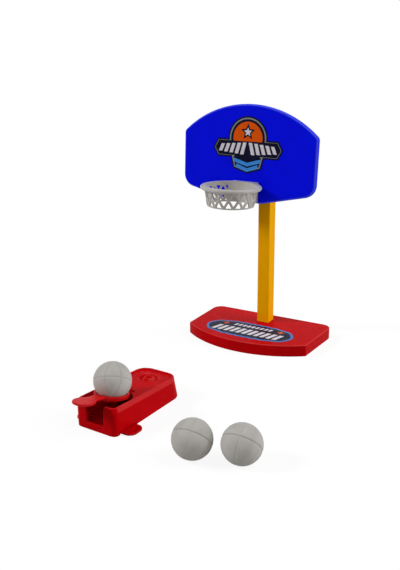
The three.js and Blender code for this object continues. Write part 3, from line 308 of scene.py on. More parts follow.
def blended(tree, share, first, second):
    node = tree.nodes.new("ShaderNodeMix")
    node.data_type = "RGBA"
    for socket, value in ((node.inputs[6], first), (node.inputs[7], second)):
        if isinstance(value, tuple):
            socket.default_value = value
        else:
            tree.links.new(value, socket)
    tree.links.new(share, node.inputs[0])
    return node.outputs[2]


def bumped(tree, height, distance, strength, below=None):
    node = add(tree, "ShaderNodeBump", Distance=distance, Strength=strength)
    tree.links.new(height, node.inputs["Height"])
    if below is not None:
        tree.links.new(below, node.inputs["Normal"])
    return node.outputs["Normal"]


def wired(tree, shader, shade, rough, normal, specular=0.5):
    for name, output in (("Base Color", shade), ("Roughness", rough), ("Normal", normal)):
        tree.links.new(output, shader.inputs[name])
    shader.inputs["Specular IOR Level"].default_value = specular


def attribute(tree, name):
    return add(tree, "ShaderNodeAttribute", attribute_name=name).outputs["Fac"]


# Moulded plastic, paler along the edges and bevels that the mesh marks: a painted highlight in the edge
# colour
def moulded(name, main, deep, edge, specular):
    material, tree, shader, where = new_material(name)
    tint = blended(tree, mapped(tree, noise(tree, where, 70, 3), 0, 1), main, deep)
    fleck = blended(tree, mapped(tree, noise(tree, where, 1100, 2), 0, 0.35, 0.45, 0.75), tint, deep)
    # Painted highlight: the edge colour laid over the marked edges and bevels
    shade = blended(tree, mapped(tree, attribute(tree, "edge"), 0, 0.6, 0, 1), fleck, edge)
    rough = mapped(tree, noise(tree, where, 420, 4), 0.37, 0.49)
    wave = bumped(tree, noise(tree, where, 95, 2), 0.0004, 0.25)
    fine = bumped(tree, noise(tree, where, 3200, 2), 0.00004, 0.35, wave)
    wired(tree, shader, shade, rough, fine, specular)
    return material


# Pebbled rubber with darker seams
def ball_rubber():
    material, tree, shader, where = new_material("ball_rubber")
    main, deep, seam = colour(190, 188, 184), colour(180, 177, 171), colour(118, 112, 104)
    tint = blended(tree, mapped(tree, noise(tree, where, 120, 4), 0, 1), main, deep)
    shade = blended(tree, mapped(tree, attribute(tree, "seam"), 0, 0.6, 0.1, 1), tint, seam)
    rough = mapped(tree, noise(tree, where, 900, 3), 0.62, 0.78)
    pebble = add(tree, "ShaderNodeTexVoronoi", feature="SMOOTH_F1")
    pebble.inputs["Scale"].default_value = 1500
    pebble.inputs["Smoothness"].default_value = 0.6
    tree.links.new(where, pebble.inputs["Vector"])
    grain = bumped(tree, noise(tree, where, 4000, 3), 0.00004, 0.4)
    skin = bumped(tree, pebble.outputs["Distance"], 0.00009, 0.45, grain)
    wired(tree, shader, shade, rough, skin, 0.3)
    return material


def steel(name, main, deep):
    material, tree, shader, where = new_material(name)
    shade = blended(tree, mapped(tree, noise(tree, where, 600, 4), 0, 1), main, deep)
    rough = mapped(tree, noise(tree, where, 1800, 3), 0.24, 0.42)
    fine = bumped(tree, noise(tree, where, 5000, 2), 0.00003, 0.3)
    wired(tree, shader, shade, rough, fine)
    shader.inputs["Metallic"].default_value = 1
    return material


def printed(name, main, deep):
    material, tree, shader, where = new_material(name)
    dots = mapped(tree, noise(tree, where, 2600, 1), 0, 0.6, 0.4, 0.7)
    cloud = mapped(tree, noise(tree, where, 160, 3), 0, 0.5)
    shade = blended(tree, dots, blended(tree, cloud, main, deep), deep)
    rough = mapped(tree, noise(tree, where, 500, 3), 0.32, 0.46)
    fine = bumped(tree, noise(tree, where, 2200, 2), 0.00003, 0.3)
    wired(tree, shader, shade, rough, fine, 0.05)
    return material


# The third colour of each moulded plastic is its painted highlight colour, laid along the marked edges
RED = moulded("red_plastic", colour(203, 2, 11), colour(191, 1, 9), colour(234, 84, 84), 0.02)
RED_LEVER = moulded("red_lever", colour(210, 3, 12), colour(198, 2, 10), colour(234, 84, 84), 0.09)
BLUE = moulded("blue_plastic", colour(1, 15, 255), colour(1, 12, 246), colour(92, 112, 252), 0.05)
YELLOW = moulded("yellow_plastic", colour(255, 184, 1), colour(250, 174, 1), colour(255, 212, 60), 0.01)
GREY = moulded("grey_plastic", colour(200, 197, 192), colour(190, 186, 180), colour(222, 220, 216), 0.2)
RUBBER = ball_rubber()
STEEL = steel("plated_steel", colour(190, 191, 194), colour(150, 151, 156))
SPRING_STEEL = steel("blackened_steel", colour(46, 43, 42), colour(30, 28, 28))
INK_NAVY = printed("ink_navy", colour(14, 15, 44), colour(9, 10, 34))
INK_GREY = printed("ink_grey", colour(148, 152, 154), colour(128, 132, 138))
INK_WHITE = printed("ink_white", colour(234, 228, 238), colour(214, 208, 222))
INK_ORANGE = printed("ink_orange", colour(240, 96, 8), colour(222, 80, 5))
INK_SKY = printed("ink_sky", colour(72, 158, 244), colour(56, 138, 228))
INK_BORDER = printed("ink_border", colour(88, 128, 196), colour(70, 110, 182))


# Meshes, all in millimetres until they are placed

def linked(name, data):
    made = bpy.data.objects.new(name, data)
    bpy.context.scene.collection.objects.link(made)
    return made


def solid(name, points, faces):
    mesh = bpy.data.meshes.new(name)
    mesh.from_pydata([tuple(point) for point in points], [], faces)
    mesh.validate()
    return linked(name, mesh)


def drop(*shapes):
    for shape in shapes:
        mesh = shape.data
        bpy.data.objects.remove(shape)
        bpy.data.meshes.remove(mesh)


def baked(shape):
    bpy.context.view_layer.update()
    graph = bpy.context.evaluated_depsgraph_get()
    made = bpy.data.meshes.new_from_object(
        shape.evaluated_get(graph), preserve_all_data_layers=True, depsgraph=graph
    )
    old = shape.data
    shape.modifiers.clear()
    shape.data = made
    bpy.data.meshes.remove(old)
    return shape


# Faces turned outwards, with points closer than the weld joined
def outward_faces(shape, weld=0.0):
    work = bmesh.new()
    work.from_mesh(shape.data)
    if weld:
        bmesh.ops.remove_doubles(work, verts=work.verts, dist=weld)
    bmesh.ops.recalc_face_normals(work, faces=work.faces)
    work.to_mesh(shape.data)
    work.free()
    return shape


def loft(name, rings):
    count = len(rings[0])
    points = [point for ring in rings for point in ring]
    faces = [tuple(reversed(range(count)))]
    for level in range(len(rings) - 1):
        low = level * count
        for step in range(count):
            following = (step + 1) % count
            faces.append((low + step, low + following, low + count + following, low + count + step))
    faces.append(tuple(range(len(points) - count, len(points))))
    return solid(name, points, faces)


def upright(x, y, z):
    return (x, y, z)


def facing(x, y, z):
    return (x, -z, y)


def across(x, y, z):
    return (z, x, y)


def prism(name, outline, low, high, place=upright):
    return loft(name, [[place(x, y, z) for x, y in outline] for z in (low, high)])


def rectangle(x0, x1, y0, y1):
    return [(x0, y0), (x1, y0), (x1, y1), (x0, y1)]


def box(x0, x1, y0, y1, z0, z1):
    return prism("box", rectangle(x0, x1, y0, y1), z0, z1)


def circle(radius, sides, x=0, y=0):
    angles = [2 * math.pi * step / sides for step in range(sides)]
    return [(x + radius * math.cos(angle), y + radius * math.sin(angle)) for angle in angles]


def mirrored(outline, side):
    made = [(side * x, y) for x, y in outline]
    return made if side > 0 else made[::-1]


def rod(radius, x, y, z0, z1, sides=64):
    return prism("rod", circle(radius, sides, x, y), z0, z1)


def rod_across(radius, x0, x1, y, z, sides=48):
    return prism("rod", circle(radius, sides, y, z), x0, x1, across)


def funnel(name, profile, sides, y=0):
    return loft(name, [[(x, along, z) for x, along in circle(r, sides, 0, y)] for r, z in profile])


def lathe(name, profile, sides=96):
    points = []
    for radius, height in profile:
        points += [(x, y, height) for x, y in circle(radius, sides)]
    faces = []
    count = len(profile)
    for level in range(count):
        low, high = level * sides, ((level + 1) % count) * sides
        for step in range(sides):
            following = (step + 1) % sides
            faces.append((low + step, low + following, high + following, high + step))
    return outward_faces(solid(name, points, faces), 0.0001)


# One mesh of several shapes, which may overlap
def merge(*shapes):
    whole = bmesh.new()
    for shape in shapes:
        whole.from_mesh(shape.data)
    whole.to_mesh(shapes[0].data)
    whole.free()
    drop(*shapes[1:])
    return shapes[0]


def boolean(shape, operation, others):
    for other in others:
        change = shape.modifiers.new("change", "BOOLEAN")
        change.operation = operation
        change.solver = "EXACT"
        change.object = other
        baked(shape)
    drop(*others)
    return shape


def cut(shape, *others):
    return boolean(shape, "DIFFERENCE", others)


def fused(shape, *others):
    return boolean(shape, "UNION", others)


# A mesh made anew from voxels, which joins what overlaps and softens the edges, then marks its outward
# bends for a painted highlight
def melted(shape, voxel, rounds, keep):
    remesh = shape.modifiers.new("remesh", "REMESH")
    remesh.mode = "VOXEL"
    remesh.voxel_size = voxel
    remesh.use_smooth_shade = True
    soften = shape.modifiers.new("soften", "SMOOTH")
    soften.factor = 0.5
    soften.iterations = rounds
    thin = shape.modifiers.new("thin", "DECIMATE")
    thin.ratio = keep
    return painted_edge_highlights(baked(shape))


def mark(mesh, name, values):
    layer = mesh.attributes.new(name, "FLOAT", "POINT")
    layer.data.foreach_set("value", np.asarray(values, np.float32))


# Marks the outward bends, where the material is painted paler as a highlight
def painted_edge_highlights(shape):
    mesh = shape.data
    count = len(mesh.vertices)
    places, normals = np.zeros(count * 3), np.zeros(count * 3)
    mesh.vertices.foreach_get("co", places)
    mesh.vertices.foreach_get("normal", normals)
    pairs = np.zeros(len(mesh.edges) * 2, int)
    mesh.edges.foreach_get("vertices", pairs)
    places, normals, pairs = places.reshape(-1, 3), normals.reshape(-1, 3), pairs.reshape(-1, 2)
    bend, links = np.zeros(count), np.zeros(count)
    for here, there in (pairs.T, pairs.T[::-1]):
        along = places[there] - places[here]
        length = np.linalg.norm(along, axis=1) + 1e-9
        np.add.at(bend, here, -(along * normals[here]).sum(1) / length)
        np.add.at(links, here, 1)
    highlight_mark = np.clip((bend / np.maximum(links, 1) - 0.05) / 0.3, 0, 1)
    mark(mesh, "edge", highlight_mark)
    return shape


# An outline from corners of x, y and radius, with an arc at each corner
def rounded(corners, steps=10):
    points = []
    count = len(corners)
    for index, (x, y, radius) in enumerate(corners):
        here = Vector((x, y))
        if radius <= 0:
            points.append((x, y))
            continue
        before = (Vector(corners[index - 1][:2]) - here).normalized()
        after = (Vector(corners[(index + 1) % count][:2]) - here).normalized()
        half = before.angle(after) / 2
        centre = here + (before + after).normalized() * (radius / math.sin(half))
        start = here + before * (radius / math.tan(half)) - centre
        sweep = math.pi - 2 * half
        if before.x * after.y - before.y * after.x > 0:
            sweep = -sweep
        for step in range(steps + 1):
            angle = sweep * step / steps
            points.append((
                centre.x + start.x * math.cos(angle) - start.y * math.sin(angle),
                centre.y + start.x * math.sin(angle) + start.y * math.cos(angle),
            ))
    return points


# An outline moved inwards along its own normals
def inset(outline, distance):
    points = [Vector(point) for point in outline]
    count = len(points)
    made = []
    for index, here in enumerate(points):
        back = (here - points[index - 1]).normalized()
        ahead = (points[(index + 1) % count] - here).normalized()
        inward = Vector((-back.y - ahead.y, back.x + ahead.x)).normalized()
        reach = max(inward.dot(Vector((-back.y, back.x))), 0.3)
        moved = here + inward * (distance / reach)
        made.append((moved.x, moved.y))
    return made


# A plate of an outline with both its edges rounded, and these rounded edges marked for a painted highlight
def pillow(outline, low, high, low_round, high_round, place, steps=6, margin=0.5):
    rings, highlight_marks = [], []

    def ring(inward, height, highlight_mark):
        rings.append([place(x, y, height) for x, y in inset(outline, inward)])
        highlight_marks.append(highlight_mark)

    ring(low_round + margin, low, 0)
    for step in range(steps + 1):
        angle = math.pi / 2 * step / steps
        inward, height = low_round * (1 - math.sin(angle)), low + low_round * (1 - math.cos(angle))
        ring(inward, height, math.sin(2 * angle))
    for step in range(steps + 1):
        angle = math.pi / 2 * step / steps
        inward, height = high_round * (1 - math.cos(angle)), high - high_round * (1 - math.sin(angle))
        ring(inward, height, math.sin(2 * angle))
    ring(high_round + margin, high, 0)
    shape = loft("pillow", rings)
    mark(shape.data, "edge", np.repeat(highlight_marks, len(outline)))
    return shape


def finish_mesh(shape, sharp=50):
    mesh = shape.data
    work = bmesh.new()
    work.from_mesh(mesh)
    bmesh.ops.recalc_face_normals(work, faces=work.faces)
    for edge in work.edges:
        edge.smooth = edge.calc_face_angle(0) < math.radians(sharp)
    for face in work.faces:
        face.smooth = True
    work.to_mesh(mesh)
    work.free()
    even = shape.modifiers.new("even", "WEIGHTED_NORMAL")
    even.keep_sharp = True
    even.weight = 60
    return baked(shape)


def dressed(shape, material, body, replaced):
    shape.data.materials.clear()
    shape.data.materials.append(material)
    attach(shape, body)
    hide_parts(*replaced)


# Brings a shape to its place in metres, as a piece that rides on a body
def placed(shape, name, matrix, material, body, replaced):
    shape.name = name
    shape.data.name = name
    shape.data.transform(Matrix.Scale(MM, 4) @ matrix)
    dressed(shape, material, body, replaced)


# Stand

# Corners along a bow that bulges up or down, rounded only at its ends
def bow(half, radius, peak, up, end_round, steps):
    sweep = math.asin(half / radius)
    corners = []
    for step in range(steps + 1):
        angle = sweep * (2 * step / steps - 1)
        x, y = -up * radius * math.sin(angle), peak + up * radius * (math.cos(angle) - 1)
        corners.append((x, y, end_round if step in (0, steps) else 0))
    return corners


def base_outline(inward, front_round=BASE_FRONT_ROUND):
    radius = (BASE_FRONT_HALF ** 2 + BASE_BULGE ** 2) / (2 * BASE_BULGE)
    front = bow(BASE_FRONT_HALF, radius, BASE_CORNER_Y - BASE_BULGE, -1, front_round, 48)
    back = [(side * BASE_BACK_HALF, BASE_BACK_Y, BASE_BACK_ROUND) for side in (1, -1)]
    return inset(rounded(front + back, 12), inward)


def make_base():
    shell = pillow(base_outline(0), 0, BASE_HEIGHT, BASE_FOOT_EDGE, BASE_TOP_EDGE, upright)
    hollow = prism("hollow", base_outline(BASE_WALL, 0), -OVERRUN, BASE_HEIGHT - BASE_WALL)
    half, back = POST_HALF + SEAT, POST_DEPTH + SEAT
    cut(shell, hollow, box(-half, half, -SEAT, back, -OVERRUN, BASE_HEIGHT + OVERRUN))
    placed(finish_mesh(shell), "base", WORLD, RED, "stand", ["base_shell"])


def make_post():
    corners = rectangle(-POST_HALF, POST_HALF, 0, POST_DEPTH)
    outline = rounded([(x, y, POST_ROUND) for x, y in corners], 5)
    bar = pillow(outline, POST_FOOT_Z, POST_TOP_Z, POST_FOOT_EDGE, POST_TOP_EDGE, upright, 3)
    placed(finish_mesh(bar), "post_bar", WORLD, YELLOW, "stand", ["post"])


# Backboard

def board_outline():
    arch = bow(BOARD_HALF, BOARD_ARC, BOARD_HEIGHT, 1, BOARD_SHOULDER_ROUND, 56)
    lower = [(-BOARD_FLAT, 0), (BOARD_FLAT, 0), (BOARD_HALF, BOARD_RISE), (-BOARD_HALF, BOARD_RISE)]
    lower = [(x, y, BOARD_LOWER_ROUND) for x, y in lower]
    return rounded(lower[:3] + arch + lower[3:], 12)


def make_board():
    outline = board_outline()
    plate = pillow(outline, -BOARD_THICKNESS, 0, BOARD_BACK_EDGE, BOARD_FRONT_EDGE, facing, 8)
    bosses, slots = [], []
    for side in (-1, 1):
        ring = circle(BOARD_BOSS_RADIUS, 48, side * BOARD_SCREW_X, BOARD_SCREW_Z)
        bosses.append(prism("boss", ring, -BOARD_THICKNESS - BOARD_BOSS_REACH, 1 - BOARD_THICKNESS, facing))
        near, far = sorted(side * x for x in HOOK_SLOT_X)
        slots.append(box(near, far, -OVERRUN, BOARD_THICKNESS + OVERRUN, *HOOK_SLOT_Z))
    fused(plate, *bosses)
    cut(plate, *slots)
    placed(finish_mesh(plate), "board", BOARD, BLUE, "stand", ["backboard"])


# Basket

def net_radius(height):
    share = min(max((RIM_TOP - height) / NET_DEPTH, 0), 1)
    return NET_TOP + (NET_FOOT - NET_TOP) * share ** 1.4


def arc_profile(centre_r, centre_z, radius, start, end, steps):
    angles = [math.radians(start + (end - start) * step / steps) for step in range(steps + 1)]
    return [(centre_r + radius * math.cos(a), centre_z + radius * math.sin(a)) for a in angles]


def rim_ring():
    low, high = RIM_TOP - RIM_HEIGHT, RIM_TOP
    inner = net_radius(RIM_TOP) - NET_WALL
    profile = [(inner, low), (RIM_RADIUS - RIM_LEDGE, low)]
    profile += arc_profile(RIM_RADIUS - RIM_EDGE, low + RIM_EDGE, RIM_EDGE, -90, 0, 8)
    profile += arc_profile(RIM_RADIUS - RIM_EDGE, high - RIM_EDGE, RIM_EDGE, 0, 90, 8)
    profile += arc_profile(inner + RIM_LIP, high - RIM_LIP, RIM_LIP, 90, 180, 4)
    return lathe("rim", profile, 128)


# A slanted rib of the net, between the foot ring and the rim
def net_rib(bay, lean):
    step = 2 * math.pi / NET_BAYS
    high = RIM_TOP - RIM_HEIGHT / 2
    low = RIM_TOP - NET_DEPTH + 0.4
    rings = []
    count, sides = 14, 12
    for index in range(count + 1):
        share = index / count
        height = low + (high - low) * share
        angle = math.pi / 2 + step * (bay + lean * (1 - share))
        radius = net_radius(height) - NET_WALL / 2
        outward = Vector((math.cos(angle), math.sin(angle), 0))
        around = Vector((-math.sin(angle), math.cos(angle), 0))
        slope = Vector((0, 0, high - low)) - around * (lean * step * radius)
        side = outward.cross(slope).normalized()
        centre = outward * radius + Vector((0, 0, height))
        ring = []
        for a, b in circle(1, sides):
            swell = max(abs(a), abs(b)) ** -0.55
            ring.append(centre + side * (RIB_HALF * a * swell) + outward * (NET_WALL / 2 * b * swell))
        rings.append(ring)
    return outward_faces(loft("rib", rings))


# The hoop's droop and roll about the middle of its back
def hung(shape):
    edge = Vector((0, RIM_REACH - SEAT, RIM_TOP - RIM_HEIGHT / 2))
    turn = Matrix.Rotation(HOOP_DROOP, 4, "X") @ Matrix.Rotation(HOOP_ROLL, 4, "Y")
    shape.data.transform(Matrix.Translation(edge) @ turn @ Matrix.Translation(-edge))
    return shape


def net_shell(name, inward, heights):
    return funnel(name, [(net_radius(z) - inward, z) for z in heights], 96)


def make_basket():
    foot = RIM_TOP - NET_DEPTH
    outer = net_radius(foot)
    inner = outer - NET_WALL
    top = foot + FOOT_HEIGHT
    foot_ring = lathe("foot", [(inner, foot), (outer, foot), (outer + FOOT_BULGE, top), (inner, top)], 128)
    ribs = [net_rib(bay, lean) for bay in range(NET_BAYS) for lean in (1, -1)]
    face = RIM_REACH - SEAT
    front = inner - CARRIER_WALL
    block = box(-CARRIER_HALF, CARRIER_HALF, front, face, CARRIER_LOW, RIM_TOP)
    half = CARRIER_HALF - CARRIER_WALL
    cut(block, box(-half, half, front - 1, face - CARRIER_WALL, -1, RIM_TOP - RIM_HEIGHT))
    heights = [foot - OVERRUN, foot] + [foot + NET_DEPTH * step / 6 for step in range(1, 7)]
    inside = hung(net_shell("inside", NET_WALL, heights + [RIM_TOP + OVERRUN]))
    wall = net_shell("wall", 0, (foot, RIM_TOP - 0.3))
    cut(
        wall,
        box(-FAR, -CARRIER_HALF, -FAR, FAR, -FAR, FAR),
        box(CARRIER_HALF, FAR, -FAR, FAR, -FAR, FAR),
        box(-FAR, FAR, -FAR, front, -FAR, FAR),
    )
    hooks = []
    for side in (-1, 1):
        near, far = sorted(side * x for x in HOOK_X)
        hooks.append(box(near, far, face - 1, face + SEAT + BOARD_THICKNESS + HOOK_REACH, *HOOK_Z))
        barb = [(x, RIM_REACH + y) for x, y in mirrored(BARB, side)]
        hooks.append(prism("barb", barb, *HOOK_Z))
    carrier = fused(block, wall)
    cut(carrier, inside)
    hoop = hung(merge(rim_ring(), foot_ring, *ribs))
    whole = merge(carrier, hoop, *hooks)
    melted(whole, 0.24, 3, 0.45)
    whole.data.transform(Matrix.Translation((0, -RIM_REACH, 0)))
    placed(whole, "hoop_and_net", BOARD, GREY, "stand", ["basket"])


# Launcher

def below_top(drop_by):
    return lambda y: TOP_FRONT_Z + (TOP_BACK_Z - TOP_FRONT_Z) * y / TOP_BACK_Y - drop_by


def level(z):
    return lambda y: z


def launcher_ring(half, front, back, front_round, back_round, height, steps=12):
    points = []
    for x, y, radius, start in (
        (half - front_round, front + front_round, front_round, -90),
        (half - back_round, back - back_round, back_round, 0),
        (-half + back_round, back - back_round, back_round, 90),
        (-half + front_round, front + front_round, front_round, 180),
    ):
        for step in range(steps + 1):
            angle = math.radians(start + 90 * step / steps)
            along = y + radius * math.sin(angle)
            points.append((x + radius * math.cos(angle), along, height(along)))
    return points


def shoulder(y):
    return SHOULDER_FRONT_Z + (SHOULDER_BACK_Z - SHOULDER_FRONT_Z) * y / SHOULDER_BACK_Y


def body_ring(inward, back_z, height):
    share = back_z / SHOULDER_BACK_Z
    half = HOUSING_HALF - inward
    back = FOOT_BACK_Y + (SHOULDER_BACK_Y - FOOT_BACK_Y) * share
    back_round = FOOT_BACK_ROUND + (SHOULDER_BACK_ROUND - FOOT_BACK_ROUND) * share
    front_round = max(FRONT_ROUND - inward, INNER_FRONT_ROUND)
    return launcher_ring(half, inward, back - inward, front_round, back_round - inward, height)


def top_ring(inward, height):
    edge = SHOULDER_INSET + inward
    rounds = (FRONT_ROUND - inward, TOP_BACK_ROUND - inward)
    return launcher_ring(HOUSING_HALF - edge, edge, TOP_BACK_Y - inward, *rounds, height)


# Paints highlights, through the edge mark, on the bevels of both sides, the flanks of the bump and the
# dimple's far edge
def painted_bevel_highlights(shape):
    mesh = shape.data
    highlight_mark = mesh.attributes["edge"].data
    for index, vertex in enumerate(mesh.vertices):
        x, y, z = vertex.co
        low, high = shoulder(y), below_top(0)(y)
        outside = abs(x) > HOUSING_HALF - 1.6 and y > 4
        if outside and low - 0.3 < z < high + 0.3:
            rise = min((z - low + 0.3) / 0.6, 1)
            highlight_mark[index].value = max(highlight_mark[index].value, 0.45 * rise)
        distance = math.hypot(x, y - DIMPLE_Y)
        depth = below_top(DECK_DROP)(y) - z
        if 2.9 < distance < 4.3 and abs(x) > 1.7 and depth < 1.1:
            highlight_mark[index].value = 0.6
        if 6.4 < distance < 7.5 and y > DIMPLE_Y + 3.5 and depth < 1:
            highlight_mark[index].value = max(highlight_mark[index].value, 0.35)


# The slot for the lever's neck, flared at its mouth
def neck_slot(high):
    half = [
        (SLOT_FOOT_HALF, SLOT_SILL),
        (SLOT_HALF, TOP_FRONT_Z - SLOT_FLARE),
        (SLOT_HALF + 0.3, TOP_FRONT_Z - 0.5),
        (SLOT_HALF + SLOT_FLARE, TOP_FRONT_Z),
        (SLOT_HALF + SLOT_FLARE, high),
    ]
    ring = [(SLOT_X - x, z) for x, z in half] + [(SLOT_X + x, z) for x, z in reversed(half)]
    return loft("slot", [[(x, y, z) for x, z in ring] for y in (-OVERRUN, WELL_Y)])


def well_front(low, high):
    corners = rectangle(-WELL_RADIUS, WELL_RADIUS, WELL_FRONT_Y, WELL_Y)
    outline = rounded([(x, y, 0 if y == WELL_Y else WELL_FRONT_ROUND) for x, y in corners])
    return prism("well_front", outline, low, high)


def hanger(side, top):
    near, far = sorted(side * x for x in HANGER_X)
    block = box(near, far, PIVOT_Y - HANGER_HALF, PIVOT_Y + HANGER_HALF, PIVOT_Z - HANGER_DROP, top)
    bore = rod_across(BORE_RADIUS, near - 1, far + 1, PIVOT_Y, PIVOT_Z, 32)
    mouth = box(near - 1, far + 1, PIVOT_Y - BORE_RADIUS, PIVOT_Y + BORE_RADIUS, 0, PIVOT_Z)
    return cut(block, bore, mouth)


def make_housing():
    deck = below_top(DECK_DROP)
    under = below_top(DECK_DROP + DECK_THICKNESS)
    shell = loft("housing", [
        body_ring(0, 0, level(0)),
        body_ring(0, SHOULDER_BACK_Z, shoulder),
        top_ring(0, below_top(0)),
    ])
    cavity = loft("cavity", [
        body_ring(HOUSING_WALL, -OVERRUN, level(-OVERRUN)),
        body_ring(HOUSING_WALL, under(SHOULDER_BACK_Y), under),
    ])
    recess = loft("recess", [top_ring(RECESS_INSET, deck), top_ring(RECESS_INSET, below_top(-3))])
    low, high = under(TOP_BACK_Y) - OVERRUN, TOP_FRONT_Z + 3
    floor = deck(DIMPLE_Y) - DIMPLE_DEPTH
    wall = [(radius, floor + z) for radius, z in DIMPLE_WALL] + [(DIMPLE_RADIUS, high)]
    cut(
        shell,
        cavity,
        recess,
        rod(WELL_RADIUS, 0, WELL_Y, low, high, 96),
        well_front(low, high),
        neck_slot(high),
        funnel("dimple", wall, 64, DIMPLE_Y),
        box(*SLIT, low, high),
        box(*EAR_X, EAR_Y[0] - SEAT, EAR_Y[1] + SEAT, -OVERRUN, EAR_Z[1] + SEAT),
        box(*NOTCH),
    )
    extras = []
    for x, y in LAUNCHER_SCREWS:
        top = SCREW_POST_TOP if y < WELL_Y else under(y) + 1
        extras.append(rod(SCREW_POST_RADIUS, x, y, PLATE_TOP + SEAT, top, 32))
    pad = under(DIMPLE_Y)
    extras.append(rod(DIMPLE_PAD, 0, DIMPLE_Y, pad - 1.2, pad + 0.4))
    bump = lathe("bump", BUMP)
    bump.data.transform(Matrix.Translation((0, DIMPLE_Y, floor)))
    extras.append(bump)
    extras += [hanger(side, under(PIVOT_Y) + 1) for side in (-1, 1)]
    merge(shell, *extras)
    melted(shell, 0.3, 4, 0.3)
    painted_bevel_highlights(shell)
    placed(shell, "launcher_body", LAUNCHER, RED, "launcher", ["launcher_housing"])


def make_bottom_plate():
    inward = HOUSING_WALL + SEAT
    floor = loft("floor", [body_ring(inward, PLATE_TOP, level(z)) for z in (0, PLATE_TOP)])
    ear_outline = rounded([(x, y, EAR_ROUND) for x, y in rectangle(*EAR_X, *EAR_Y)], 14)
    ears = pillow(ear_outline, *EAR_Z, 0.3, 0.4, upright, 4)
    parts = [ears, rod(SPIGOT_RADIUS, 0, SPRING_Y, 1, SPIGOT_TOP, 32)]
    for side in (-1, 1):
        near, far = sorted(side * x for x in PROP_X)
        parts.append(box(near, far, PIVOT_Y - PROP_HALF, PIVOT_Y + PROP_HALF, 1, PIVOT_Z - BORE_RADIUS))
    cut(floor, *(rod(SCREW_POST_RADIUS, x, y, -OVERRUN, 1.3, 32) for x, y in LAUNCHER_SCREWS))
    merge(floor, *parts)
    melted(floor, 0.25, 3, 0.4)
    placed(floor, "launcher_floor", LAUNCHER, RED, "launcher", ["launcher_bottom_plate"])


# A place in the launcher's frame, seen from the lever's
def lever_point(y, z):
    dy, dz = y - LEVER_PLACE[1], z - LEVER_PLACE[2]
    c, s = math.cos(LEVER_TILT), math.sin(LEVER_TILT)
    return dy * c - dz * s, dy * s + dz * c


def under_ball(radius, angle):
    return radius * math.sin(angle), BALL_LIFT - radius * math.cos(angle)


def make_lever():
    foot, mouth = math.asin(CUP_FOOT / CUP_SKIN), math.asin(CUP_MOUTH / CUP_HOLLOW)
    profile = [under_ball(CUP_SKIN, foot * step / 12) for step in range(13)]
    profile += CUP_RIM
    profile += [under_ball(CUP_HOLLOW, mouth * (1 - step / 24)) for step in range(25)]
    cup = lathe("cup", profile)
    tab = pillow(circle(TAB_RADIUS, 72, 0, TAB_Y), LEVER_LOW, 0, 0.5, 0.55, upright, 5)
    neck = box(-NECK_HALF, NECK_HALF, *NECK_Y, LEVER_LOW, NECK_TOP)
    webs = [prism("web", mirrored(WEB, side), LEVER_LOW, NECK_TOP) for side in (-1, 1)]
    pivot_y, pivot_z = lever_point(PIVOT_Y, PIVOT_Z)
    arm = box(-ARM_HALF, ARM_HALF, ARM_Y, pivot_y, *ARM_Z)
    barrel = rod_across(BARREL_RADIUS, -BARREL_HALF, BARREL_HALF, pivot_y, pivot_z)
    for part in (arm, barrel):
        cut(part, rod_across(BORE_RADIUS, -9, 9, pivot_y, pivot_z))
    whole = merge(cup, tab, neck, arm, barrel, *webs)
    melted(whole, 0.24, 3, 0.4)
    placed(whole, "lever", LEVER, RED_LEVER, "lever", ["launcher_lever"])


def make_spring():
    foot = PLATE_TOP + SEAT
    low = foot + SPRING_WIRE
    steps, sides = SPRING_TURNS * 28, 12
    rings = []
    for step in range(steps + 1):
        share = step / steps
        angle = 2 * math.pi * SPRING_TURNS * share
        eased = share - 0.055 * math.sin(2 * math.pi * share)
        outward = Vector((math.cos(angle), math.sin(angle), 0))
        centre = outward * SPRING_RADIUS + Vector((0, SPRING_Y, low + (SPRING_TOP - low) * eased))
        rings.append([
            centre + outward * out - Vector((0, 0, down))
            for out, down in circle(SPRING_WIRE, sides)
        ])
    coil = finish_mesh(loft("coil", rings), 60)
    placed(coil, "spring", LAUNCHER, SPRING_STEEL, "launcher", ["lever_spring"])
    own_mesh(coil)


# Balls

# How much of each seam lies at each direction: the main one, the one across it and both ovals
def seam_depth(directions):
    def groove(values, width):
        return np.exp(-(values / width) ** 2)

    x, y, z = directions.T
    main = groove(np.arcsin(np.clip(z, -1, 1)) * BALL_RADIUS, SEAM_WIDTH)
    cross = groove(np.arcsin(np.clip(x, -1, 1)) * BALL_RADIUS, THIN_SEAM_WIDTH)
    turn = np.linspace(0, 2 * np.pi, 360, endpoint=False)
    lon, lat = OVAL_WIDE * np.cos(turn), OVAL_TALL * np.sin(turn)
    loop = np.stack([np.cos(lat) * np.cos(lon), np.cos(lat) * np.sin(lon), np.sin(lat)], 1)
    folded = np.abs(x)[:, None] * loop[:, 0] + y[:, None] * loop[:, 1] + z[:, None] * loop[:, 2]
    nearest = np.arccos(np.clip(folded.max(1), -1, 1)) * BALL_RADIUS
    return main, cross, groove(nearest, THIN_SEAM_WIDTH)


